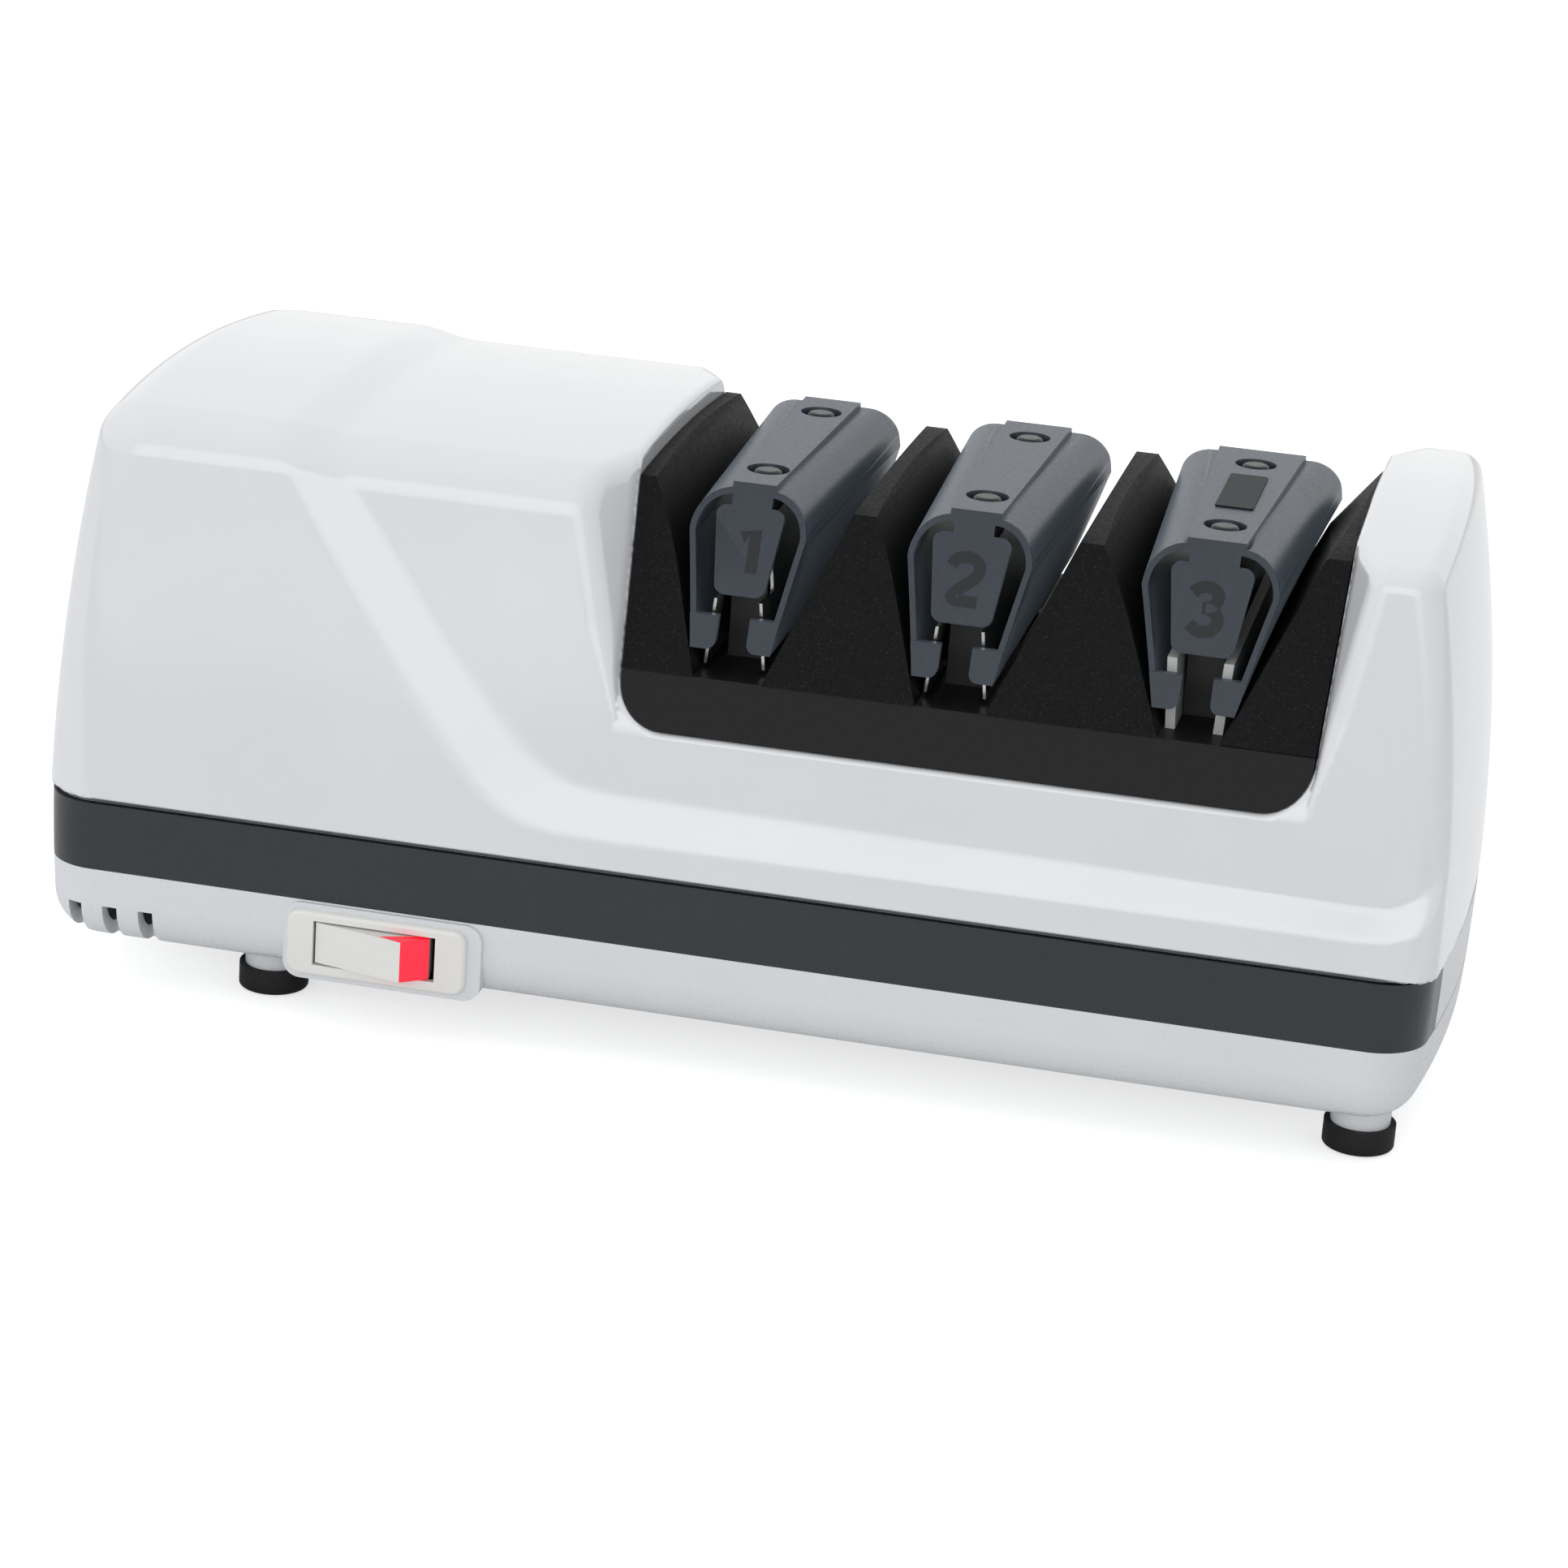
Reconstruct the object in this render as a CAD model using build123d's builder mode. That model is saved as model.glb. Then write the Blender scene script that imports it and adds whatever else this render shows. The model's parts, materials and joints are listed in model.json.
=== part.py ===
from build123d import *
import os
from math import radians, sqrt, tan

# Three-stage electric knife sharpener.  Millimetres, +Z up, +X to the right along the length, +Y to the
# back.  The origin is the middle of the footprint, on the plane the rubber feet stand on.

os.makedirs("parts", exist_ok=True)


# ---------------------------------------------------------------- driving dimensions
# body
length = 242.0              # over the bulge of both ends
half_length = length / 2
half_depth = 52.3           # front face at the band
base_bottom = 8.5           # underside of the base
band_bottom = 22.3          # lower edge of the dark band
parting = 34.1              # upper edge of the band, where the shells part
crest = 103.1               # top of the left tower on the centre line
crest_step = 1.9            # how much lower the top is to the right of the ribbon
face_step = 1.5             # how much the front is set back above the ribbon
face_draft = 6.9            # lean of the front and back faces, degrees
top_arch = 250.0            # radius of the roof, front to back
end_plan = 320.0            # radius of the ends seen from above
end_side = 280.0            # radius of the ends seen from the front
end_widest = 33.0           # height where the ends bulge most
corner = 9.5                # radius of the upright corners
top_round = 6.5             # radius round the roof
bottom_round = 8.0          # radius round the underside
wall = 2.4                  # wall of both shells

# ribbon step on the front face: a slope, a bend and a level ledge
ribbon_top_x = -half_length + 45.0
ribbon_foot_x = ribbon_top_x + 39.0
ledge_height = 43.0
ribbon_bend = 16.0

# saddle between the towers
saddle_left = -19.3         # at its floor
saddle_right = 94.6
saddle_floor = 58.6
saddle_lean_left = 3.6      # degrees from upright
saddle_lean_right = 2.6
saddle_corner = 8.0
rim_top = 97.2              # a height on the reclined rim plane
rim_top_y = half_depth - 21.0   # half depth of the rim plane at that height
rim_recline = 23.5          # lean of the rim plane, degrees
bevel_left = 6.3            # width of the tower bevels at rim_top
bevel_right = 4.4
ledge_width = 4.0           # shelf the insert stands on

# black insert
insert_fit = 0.15
deck_top = 67.6
deck_plate = 3.0
deck_wall = 2.6
insert_arch = 400.0         # radius of the wedge tops, front to back
outer_wedge_top = 98.2
inner_wedge_top = 96.2

# stages, from left to right
stage_x = (-2.2, 34.9, 74.4)
guide_half = (9.9, 10.4, 11.3)         # half width of each spring guide at its widest, front
guide_back_half = (12.0, 12.9, 14.2)   # and back
strip_front = (3.6, 4.2, 4.8)          # half width of the raised strip, front
strip_back = (5.0, 5.8, 7.6)           # and back
plate_top_half = (5.9, 6.7, 7.0)       # half width of each hanging number plate, top
plate_foot_half = (4.15, 4.9, 4.95)    # and foot
plate_neck_half = (3.35, 3.3, 4.1)
wedge_foot_left = (3.7, 41.0, 79.3)    # foot of the face left of each inner or right wedge
wedge_foot_right = (-7.7, 29.4, 69.3)  # foot of the face right of each left or inner wedge
wedge_slope_left = (0.405, 0.415, 0.436)   # run over rise of each left face
wedge_slope_right = (0.33, 0.36, 0.435)    # and of each right face, up to where it turns over
wedge_turn = 84.0                      # height where the right faces turn over
inner_wedge_land = 2.6                 # flat on top of the inner wedges
outer_wedge_land = 2.1

# spring guides
guide_wall = 1.0
guide_roof = 97.0
guide_strip = 0.9
guide_widest = 90.0         # height of the widest place
guide_foot = 72.2           # lower edge of the arms
guide_foot_half = 6.7
guide_shoulder = 7.0        # radius of the shoulders, front
guide_back_shoulder = 5.4   # and back
guide_end_y = rim_top_y     # half length along the top
tab_height = 5.2
tab_inner = 2.6             # half width between the foot tabs
tab_proud = 0.3             # how far the tabs stand out from the guide's end
plate_top = 94.3            # hanging number plate
plate_foot = 80.7
screw_y = guide_end_y - 10.3
screw_recess = 7.2          # diameter
screw_head = 5.2
screw_shank = 2.8
screw_reach = 10.0

# bridges under the guides
bridge_half = 3.0
bridge_leg_inner = 18.0
bridge_leg_outer = guide_end_y - 1.8
bridge_arch = 77.0
leaf_thickness = 0.5
leaf_top = 93.0
leaf_bend = 85.0
leaf_foot_out = 1.7         # how far the leaf springs out at its foot
guard_thickness = 1.6
guard_height = 12.0

# shaft and discs
shaft_height = 46.0
shaft_radius = 4.0
shaft_flat = 3.4            # half height over the drive flats
shaft_left = -half_length + 9.0
running_fit = 0.03
disc_radius = 25.0
disc_inner = 0.9            # inner face from the stage's centre
disc_outer = 4.6            # outer face
disc_flat_radius = 16.0
disc_rim = 0.7
disc_pocket = 2.2
pocket_radius = 10.5
collar_radius = 9.8
collar_half = 0.8
spring_wire = 0.25          # radius
spring_radius = 6.8
spring_end_gap = 0.05
spring_turns = 1.5

# motor
motor_x = -half_length + 49.0
stack = 28.0                # lamination stack along the shaft
core_half = 29.0
core_bottom = 19.0
core_top = crest - 15.1
bore_radius = 17.3
rotor_gap = 0.3
pole_bridge = 5.75          # steel between the bore and the coil's window
coil_gap_half = 14.2
bobbin_wall = 1.2
bobbin_fit = 0.15
winding_depth = 4.6
bracket_gap = 8.0           # from the stack to the brackets
bracket = 3.0
bearing_radius = 6.0
bearing_length = 8.0
hub_radius = 9.0
bolt_radius = 2.0
bolt_y = 24.0
bolt_low = 24.0
bolt_high = 66.0
fan_radius = 27.0
fan_width = 8.0
fan_blades = 9

# outboard bearing
block_x = saddle_right + 6.9
shaft_right = block_x + 5.0
block_half_y = 12.0

# base details
foot_left_x = -half_length + 40.9
foot_right_x = half_length - 12.8
foot_y = half_depth - 15.3
foot_radius = 6.0
foot_height = 4.3
foot_sole = 1.6
post_radius = 5.2
post_tip_radius = 4.9
tower_radius = 4.6          # screw towers inside the shells
house_screw_radius = 1.8
house_screw_head = 3.2
house_screw_end = 58.0
tower_top = 62.0
rib_height = 7.0
slot_x = tuple(-half_length + inboard for inboard in (9.8, 16.2, 22.6))
slot_width = 2.6
slot_top = 15.8
groove = 0.5

# switch
boss_face = half_depth + 0.9
bezel_thick = 1.2
bezel_face = boss_face + bezel_thick
rocker_left = -half_length + 53.5
rocker_right = rocker_left + 20.0
rocker_low = 12.0
rocker_high = 19.2
rocker_gap = 0.35
rocker_ridge_x = rocker_right - 4.1
rocker_ridge_y = bezel_face + 3.2
rocker_pivot_x = rocker_left + 10.2
rocker_pivot_y = bezel_face - 4.0
bezel_left = rocker_left - 5.1
bezel_right = rocker_right + 6.3
bezel_low = 9.6
bezel_high = 21.2
switch_back = half_depth - 14.3

# band
band_depth = 1.2
band_end_y = half_depth - 14.3  # how far the band runs round the corners

# clean-out cover under stage 2
cover_x = 34.9
cover_half_x = 24.0
cover_half_y = 17.0
cover_thick = 1.6
cover_ledge = 2.5
cover_fit = 0.2
magnet_half_x = 14.0
magnet_half_y = 5.0
magnet_height = 4.0

# dressing lever behind stage 3
lever_y = 34.0
lever_half = 4.5
lever_travel = 0.8
lever_tab_y = half_depth + 3.2
dresser_gap = 0.5

# cord inlet at the back, behind the motor
inlet_x = -half_length + 37.0
inlet_z = 27.0
inlet_radius = 6.5
inlet_bore = 3.2
inlet_face = half_depth + 5.3

# smaller sizes, piece by piece
window_half_x = 4.9         # windows in the deck over the discs
window_half_y = 17.6
face_bulge = 0.3            # of the turned-over part of the wedge faces
facet_land = 0.4            # what the right wedge's facet leaves of its top
facet_y = 22.0              # how far back that is
facet_low = 86.0            # how low the facet reaches at the back
plate_corner = 1.7
tab_round = 1.5
guide_tuck = 0.4            # how much narrower the guides are at the roof than at their widest
screw_seat = 96.6
screw_dome = 1.3
screw_dome_round = 1.1
screw_clearance = 0.05
bridge_chamfer = 0.6
leaf_foot = 68.4
leaf_end_y = guide_end_y + 6.7
guard_foot = 3.1
guard_lean = 0.06           # run over rise
label_half_x = 3.2
label_half_y = 11.0
label_y = 1.0
label_thick = 0.3
label_corner = 0.6
foot_fit = 0.1
foot_round = 0.6
house_screw_seat = 9.0
house_head_height = 2.4
screw_room = 0.2            # round the housing screws' heads
root = 0.5                  # how far a post runs into what it stands on
cradle_half = 1.5
inlet_neck = 4.5
inlet_fit = 0.1
inlet_taper = 12.0          # degrees
lever_low = 43.6
lever_high = 50.0
lever_fit = 0.1
lever_block = 4.0
lever_stem_half = 3.0
lever_stem_drop = 1.4
lever_tab_from = half_depth - 0.3
lever_tab_half = 6.0
rail_half = 1.0
rail_height = 2.4
rail_shoulder = 2.0
fork_inner = 5.4
fork_outer = 8.3
fork_from = 26.6
pad_thick = 0.9
pad_from = 19.0
pad_border = 0.6
block_half_x = 4.0
block_foot = 13.0
boss_left = bezel_left - 0.8
boss_right = bezel_right + 2.4
boss_low = 8.6
boss_high = 22.1
boss_corner = 3.0
boss_root = 6.0
bezel_corner = 2.4
bezel_edge = 0.8
switch_wall = 0.7
switch_fit = 0.1
switch_floor = half_depth - 7.3
terminal_pitch = 10.0
terminal_half = 2.4
terminal_reach = 7.0
terminal_thick = 0.8
pin_radius = 1.2
pin_reach = 0.7
pin_end_gap = 0.1
rocker_end_y = bezel_face - 0.5
rocker_tip_y = bezel_face - 0.2
rocker_back_y = rocker_pivot_y - 0.6
rocker_room = 1.0           # space at the end that swings in
flag_reach = 4.4
flag_skin = 0.5
coil_room = 1.0             # under the bobbin
bobbin_end_gap = 0.2
bobbin_corner = 2.0
flange = 1.3
winding_below = 0.6         # how far the winding stays below the flanges' edges
bracket_over = 6.0
bracket_corner = 5.0
spacer_radius = 4.0
bolt_head = 3.5
bolt_head_height = 2.5
bolt_end = 3.2
end_ring = 4.0
end_ring_outer = 16.0
end_ring_inner = 10.0
fan_hub = 7.0
fan_plate = 1.2
fan_plate_radius = 23.0
fan_blade = 1.4

draft = tan(radians(face_draft))
recline = tan(radians(rim_recline))


def face_y(z):
    """Half depth of the drafted front and back faces at a height above the band."""
    return half_depth - (z - parting) * draft


def rim_y(z, inset=0.0):
    """Half depth of the reclined rim planes at a height."""
    return rim_top_y + (rim_top - z) * recline - inset


def end_barrel(side, low, high, inset):
    """Barrel whose side is one bulged end of the body; side is -1 for left and +1 for right."""

    def reach(z):
        return end_plan - end_side + sqrt(end_side**2 - (z - end_widest) ** 2) - inset

    middle = (low + high) / 2
    axis_x = side * (half_length - end_plan)
    with BuildPart() as barrel:
        with BuildSketch(Plane.XZ):
            with BuildLine():
                ThreePointArc(
                    (axis_x - side * reach(low), low),
                    (axis_x - side * reach(middle), middle),
                    (axis_x - side * reach(high), high),
                )
                Polyline(
                    (axis_x - side * reach(high), high),
                    (axis_x, high),
                    (axis_x, low),
                    (axis_x - side * reach(low), low),
                )
            make_face()
        revolve(axis=Axis((axis_x, 0, 0), (0, 0, 1)))
    return barrel.part


def upright_edges(part):
    """The four upright edges at the corners of a body form."""
    return part.edges().filter_by(
        lambda e: abs(e.center().X) > half_length - 25
        and abs(e.center().Y) > half_depth - 20
        and e.bounding_box().size.Z > 5
    )


def upper_form(roof, inset, face_inset, corner_radius, roof_radius):
    """Outer shape of the upper housing, or its hollow when inset by the wall."""
    low = parting
    top = roof - inset
    low_y = half_depth - inset - face_inset
    high_y = low_y - (top - low) * draft
    with BuildPart() as form:
        with BuildSketch(Plane.YZ):
            with BuildLine():
                Polyline(
                    (-high_y, top - high_y**2 / (2 * top_arch)),
                    (-low_y, low),
                    (low_y, low),
                    (high_y, top - high_y**2 / (2 * top_arch)),
                )
                ThreePointArc(
                    (high_y, top - high_y**2 / (2 * top_arch)),
                    (0, top),
                    (-high_y, top - high_y**2 / (2 * top_arch)),
                )
            make_face()
        extrude(amount=half_length + 5, both=True)
        add(end_barrel(-1, low - 1, top + 1, inset), mode=Mode.INTERSECT)
        add(end_barrel(+1, low - 1, top + 1, inset), mode=Mode.INTERSECT)
        fillet(upright_edges(form), corner_radius)
        fillet(form.faces().sort_by(Axis.Z)[-1].edges(), roof_radius)
    return form.part


def lower_form(inset, corner_radius, round_radius):
    """Outer shape of the base, or its hollow when inset by the wall."""
    bottom = base_bottom + inset
    with BuildPart() as form:
        with BuildSketch(Plane.XY.offset(bottom)):
            Rectangle(length + 10, 2 * (half_depth - inset))
        extrude(amount=parting - bottom)
        add(end_barrel(-1, bottom - 1, parting + 1, inset), mode=Mode.INTERSECT)
        add(end_barrel(+1, bottom - 1, parting + 1, inset), mode=Mode.INTERSECT)
        fillet(upright_edges(form), corner_radius)
        fillet(form.faces().sort_by(Axis.Z)[0].edges(), round_radius)
    return form.part


def saddle_outline(clearance, high, drop=0.0):
    """Front outline of the saddle as a sketch on the XZ plane, drawn inwards by a clearance and with its
    floor lowered by a drop."""
    floor = saddle_floor - drop
    lean_left = tan(radians(saddle_lean_left))
    lean_right = tan(radians(saddle_lean_right))
    with BuildSketch(Plane.XZ) as outline:
        with BuildLine():
            Polyline(
                (saddle_left + clearance, floor),
                (saddle_right - clearance, floor),
                (saddle_right - clearance + (high - saddle_floor) * lean_right, high),
                (saddle_left + clearance - (high - saddle_floor) * lean_left, high),
                close=True,
            )
        make_face()
        fillet(outline.vertices().group_by(Axis.Y)[0], saddle_corner - clearance)
    return outline.sketch


def tower_bevel(side, front, grow=0.0):
    """Cutter for the bevel between a tower's face and the saddle rim.

    side is -1 for the left tower, +1 for the right one; front is -1 for the front, +1 for the back; grow
    widens it so that a wall is left round it."""
    lean = tan(radians(saddle_lean_left if side < 0 else saddle_lean_right))
    foot_x = saddle_left if side < 0 else saddle_right
    width = bevel_left if side < 0 else bevel_right
    over = 1.6                                   # reach past the tower's face
    sections = []
    for z in (saddle_floor + 1.0, crest + 8):
        rim_x = foot_x + side * ((z - saddle_floor) * lean + grow)
        depth = face_y(z) - rim_y(z)
        bevel = width * (z - saddle_floor) / (rim_top - saddle_floor)
        near = (rim_x, front * (rim_y(z) - grow))
        far = (rim_x + side * bevel * over, front * (rim_y(z) - grow + depth * over))
        with BuildSketch(Plane.XY.offset(z)) as section:
            with BuildLine():
                Polyline(near, far, (rim_x - side * 12, far[1]), (rim_x - side * 12, near[1]), close=True)
            make_face()
        sections.append(section.sketch)
    with BuildPart() as cutter:
        loft(sections, ruled=True)
    return cutter.part


# ---------------------------------------------------------------- helpers
def box_between(x, y, z):
    """Box between two limits along each axis."""
    with BuildPart() as block:
        with Locations(((x[0] + x[1]) / 2, (y[0] + y[1]) / 2, (z[0] + z[1]) / 2)):
            Box(x[1] - x[0], y[1] - y[0], z[1] - z[0])
    return block.part


def finish(part, name):
    """Label a finished piece and write it."""
    part.label = name
    export_step(part, f"parts/{name}.step")


def finish_group(parts, name):
    """Write several identical pieces as one node of separate solids."""
    finish(Compound(children=parts), name)


screw_places = [(x, y) for x in (foot_left_x, foot_right_x) for y in (-foot_y, foot_y)]
floor_top = base_bottom + wall


# ---------------------------------------------------------------- upper housing
def ribbon_region():
    """Region right of the ribbon and above the ledge, on the XZ plane."""
    high = crest + 12
    slope = (crest - ledge_height) / (ribbon_foot_x - ribbon_top_x)
    with BuildSketch(Plane.XZ) as region:
        with BuildLine():
            Polyline(
                (ribbon_top_x - (high - crest) / slope, high),
                (ribbon_foot_x, ledge_height),
                (half_length + 10, ledge_height),
                (half_length + 10, high),
                close=True,
            )
        make_face()
        fillet(region.vertices().sort_by(Axis.Y)[:2].sort_by(Axis.X)[0], ribbon_bend)
    return region.sketch


def housing_hollow():
    """Space inside the upper housing, clear of the saddle and the tower bevels by the wall."""
    with BuildPart() as hollow:
        add(upper_form(crest - crest_step, wall, face_step, corner - wall, top_round - wall))
        extrude(saddle_outline(-wall, crest + 10, wall), amount=half_depth, both=True, mode=Mode.SUBTRACT)
        for side in (-1, 1):
            for front in (-1, 1):
                add(tower_bevel(side, front, wall), mode=Mode.SUBTRACT)
    return hollow.part


with BuildPart() as upper_housing:
    add(upper_form(crest, 0.0, 0.0, corner, top_round))
    extrude(ribbon_region(), amount=half_depth + 10, both=True, mode=Mode.SUBTRACT)
    add(upper_form(crest - crest_step, 0.0, face_step, corner, top_round))
    extrude(saddle_outline(0, crest + 10), amount=half_depth + 10, both=True, mode=Mode.SUBTRACT)
    for side in (-1, 1):
        for front in (-1, 1):
            add(tower_bevel(side, front), mode=Mode.SUBTRACT)
    add(housing_hollow(), mode=Mode.SUBTRACT)
    # window in the saddle floor, under the insert
    with BuildSketch(Plane.XY.offset(saddle_floor - 2 * wall)):
        with Locations(((saddle_left + saddle_right) / 2, 0)):
            RectangleRounded(
                saddle_right - saddle_left - 2 * (saddle_corner + ledge_width),
                2 * (rim_y(saddle_floor) - ledge_width),
                ledge_width,
            )
    extrude(amount=3 * wall, mode=Mode.SUBTRACT)
    # screw towers and the ribs that tie them to the walls
    with BuildSketch(Plane.XY.offset(parting)):
        with Locations(*screw_places):
            Circle(tower_radius)
    extrude(amount=tower_top - parting)
    for x, y in screw_places:
        out = 1 if y > 0 else -1
        rib = (y, out * (face_y(tower_top) - face_step - wall / 2))
        add(box_between((x - 1, x + 1), (min(rib), max(rib)), (tower_top - rib_height, tower_top)))
    extrude(saddle_outline(0, crest + 10), amount=half_depth + 10, both=True, mode=Mode.SUBTRACT)
    with BuildSketch(Plane.XY.offset(parting)):
        with Locations(*screw_places):
            Circle(house_screw_radius + screw_clearance)
    extrude(amount=house_screw_end + 1 - parting, mode=Mode.SUBTRACT)
    # slot for the dressing lever, through the back wall
    add(
        box_between(
            (stage_x[2] - lever_stem_half - lever_travel - dresser_gap,
             stage_x[2] + lever_stem_half + lever_travel + dresser_gap),
            (half_depth - 3 * wall, half_depth + 1),
            (lever_low + lever_stem_drop - dresser_gap, lever_high - lever_stem_drop + dresser_gap),
        ),
        mode=Mode.SUBTRACT,
    )
finish(upper_housing.part, "upper_housing")


# ---------------------------------------------------------------- lower base and band
def front_strip(outer_part):
    """Skin of the base that the band takes up: the front and its corners, between the band's edges."""
    with BuildPart() as strip:
        add(outer_part)
        add(
            box_between(
                (-half_length - 5, half_length + 5),
                (-half_depth - 5, -band_end_y),
                (band_bottom, parting + 1),
            ),
            mode=Mode.INTERSECT,
        )
        add(lower_form(band_depth, corner - band_depth, bottom_round - band_depth), mode=Mode.SUBTRACT)
    return strip.part


def edge_groove(outer_part):
    """Shallow ring round the ends and the back of the base, level with the band's lower edge."""
    with BuildPart() as ring_cut:
        add(outer_part)
        add(
            box_between(
                (-half_length - 5, half_length + 5),
                (-band_end_y, half_depth + 5),
                (band_bottom - groove / 2, band_bottom + groove / 2),
            ),
            mode=Mode.INTERSECT,
        )
        add(lower_form(groove, corner - groove, bottom_round - groove), mode=Mode.SUBTRACT)
    return ring_cut.part


def foot_post(x, y):
    """Post under the base that a rubber foot is pressed on, with its screw tower inside the base."""
    with BuildPart() as post:
        with BuildSketch(Plane((x, y, foot_sole))):
            Circle(post_tip_radius)
        with BuildSketch(Plane((x, y, floor_top))):
            Circle(post_radius)
        loft()
        with Locations((x, y, (floor_top + parting) / 2)):
            Cylinder(tower_radius, parting - floor_top)
        with Locations((x, y, (foot_sole + house_screw_seat) / 2)):
            Cylinder(house_screw_head + screw_room, house_screw_seat - foot_sole, mode=Mode.SUBTRACT)
        with Locations((x, y, (house_screw_seat + parting) / 2)):
            Cylinder(house_screw_radius + screw_clearance, parting - house_screw_seat, mode=Mode.SUBTRACT)
    return post.part


base_outer = lower_form(0.0, corner, bottom_round)
switch_open = dict(
    x=(rocker_left - rocker_gap, rocker_right + rocker_room),
    z=(rocker_low - rocker_gap, rocker_high + rocker_gap),
)

with BuildPart() as lower_base:
    add(base_outer)
    # boss that carries the switch bezel
    with BuildPart(mode=Mode.PRIVATE) as boss:
        with BuildSketch(Plane.XZ.offset(half_depth - boss_root)):
            with Locations(((boss_left + boss_right) / 2, (boss_low + boss_high) / 2)):
                RectangleRounded(boss_right - boss_left, boss_high - boss_low, boss_corner)
        extrude(amount=boss_face - half_depth + boss_root)
    add(boss.part)
    add(lower_form(wall, corner - wall, bottom_round - wall), mode=Mode.SUBTRACT)
    # the wall behind the boss and the band stays full
    add(
        box_between(
            (boss_left, boss_right), (-half_depth + 1, -half_depth + wall + 2), (floor_top, band_bottom)
        )
    )
    add(front_strip(base_outer), mode=Mode.SUBTRACT)
    # groove that carries the band's lower line round the ends and the back
    add(edge_groove(base_outer), mode=Mode.SUBTRACT)
    # posts, towers and cradles
    for x, y in screw_places:
        with Locations((x, y, (foot_sole + floor_top) / 2)):
            Cylinder(house_screw_head + screw_room, floor_top - foot_sole, mode=Mode.SUBTRACT)
        add(foot_post(x, y))
    for x in (motor_x - stack / 3, motor_x + stack / 3):
        add(
            box_between(
                (x - cradle_half, x + cradle_half), (-bolt_y, bolt_y), (floor_top - root, core_bottom)
            )
        )
    add(
        box_between(
            (block_x - block_half_x - 1, block_x + block_half_x + 1),
            (-block_half_y, block_half_y),
            (floor_top - root, block_foot),
        )
    )
    # post and rail that the dressing lever slides on
    post_span = (stage_x[2] - 2 * lever_half, stage_x[2] + 2 * lever_half)
    post_y = (lever_y - rail_half - rail_shoulder, lever_y + rail_half + rail_shoulder)
    add(box_between(post_span, post_y, (floor_top - root, lever_low - lever_fit)))
    rail_y = (lever_y - rail_half, lever_y + rail_half)
    add(box_between(post_span, rail_y, (lever_low - root, lever_low + rail_height)))
    # opening and recess for the clean-out cover
    add(
        box_between(
            (cover_x - cover_half_x, cover_x + cover_half_x),
            (-cover_half_y, cover_half_y),
            (base_bottom - 1, base_bottom + cover_thick),
        ),
        mode=Mode.SUBTRACT,
    )
    add(
        box_between(
            (cover_x - cover_half_x + cover_ledge, cover_x + cover_half_x - cover_ledge),
            (-cover_half_y + cover_ledge, cover_half_y - cover_ledge),
            (base_bottom, floor_top + 1),
        ),
        mode=Mode.SUBTRACT,
    )
    # switch opening
    add(
        box_between(
            (switch_open["x"][0] - switch_wall, switch_open["x"][1] + switch_wall),
            (-boss_face - 1, -half_depth + boss_root + 1),
            (switch_open["z"][0] - switch_wall, switch_open["z"][1] + switch_wall),
        ),
        mode=Mode.SUBTRACT,
    )
    # cooling slots through the bottom rounding, front and back
    for x in slot_x:
        for side in (-1, 1):
            deep = sorted((side * (half_depth + 1), side * (half_depth - bottom_round)))
            add(
                box_between((x - slot_width / 2, x + slot_width / 2), deep, (base_bottom - 1, slot_top)),
                mode=Mode.SUBTRACT,
            )
    # hole for the cord inlet
    with BuildSketch(Plane.XZ.offset(-half_depth - 1)):
        with Locations((inlet_x, inlet_z)):
            Circle(inlet_neck + inlet_fit)
    extrude(amount=3 * wall, mode=Mode.SUBTRACT)
finish(lower_base.part, "lower_base")

finish(front_strip(base_outer), "front_band")

feet = []
for x, y in screw_places:
    with BuildPart() as foot:
        with BuildSketch(Plane((x, y, 0))):
            Circle(foot_radius)
        extrude(amount=foot_height)
        fillet(foot.edges().group_by(Axis.Z)[0], foot_round)
        with BuildSketch(Plane((x, y, foot_sole))):
            Circle(post_tip_radius + foot_fit)
        extrude(amount=foot_height, mode=Mode.SUBTRACT)
    feet.append(foot.part)
finish_group(feet, "rubber_feet")

house_screws = []
for x, y in screw_places:
    with BuildPart() as screw:
        with Locations((x, y, house_screw_seat - house_head_height / 2)):
            Cylinder(house_screw_head, house_head_height)
        with Locations((x, y, (house_screw_seat + house_screw_end) / 2)):
            Cylinder(house_screw_radius, house_screw_end - house_screw_seat)
    house_screws.append(screw.part)
finish_group(house_screws, "housing_screws")

with BuildPart() as cleanout_cover:
    with BuildSketch(Plane.XY.offset(base_bottom)):
        with Locations((cover_x, 0)):
            Rectangle(2 * (cover_half_x - cover_fit), 2 * (cover_half_y - cover_fit))
    extrude(amount=cover_thick)
finish(cleanout_cover.part, "cleanout_cover")

with BuildPart() as filings_magnet:
    with BuildSketch(Plane.XY.offset(base_bottom + cover_thick)):
        with Locations((cover_x, 0)):
            Rectangle(2 * magnet_half_x, 2 * magnet_half_y)
    extrude(amount=magnet_height)
    fillet(filings_magnet.edges().filter_by(Axis.Z), 1)
finish(filings_magnet.part, "filings_magnet")

with BuildPart() as cord_inlet:
    with BuildSketch(Plane.XZ.offset(-half_depth)):
        with Locations((inlet_x, inlet_z)):
            Circle(inlet_radius)
    extrude(amount=-(inlet_face - half_depth), taper=inlet_taper)
    with BuildSketch(Plane.XZ.offset(-half_depth)):
        with Locations((inlet_x, inlet_z)):
            Circle(inlet_neck)
    extrude(amount=2 * wall)
    with BuildSketch(Plane.XZ.offset(-inlet_face)):
        with Locations((inlet_x, inlet_z)):
            Circle(inlet_bore)
    extrude(amount=inlet_face - half_depth + 2 * wall, mode=Mode.SUBTRACT)
finish(cord_inlet.part, "cord_inlet")


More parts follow.
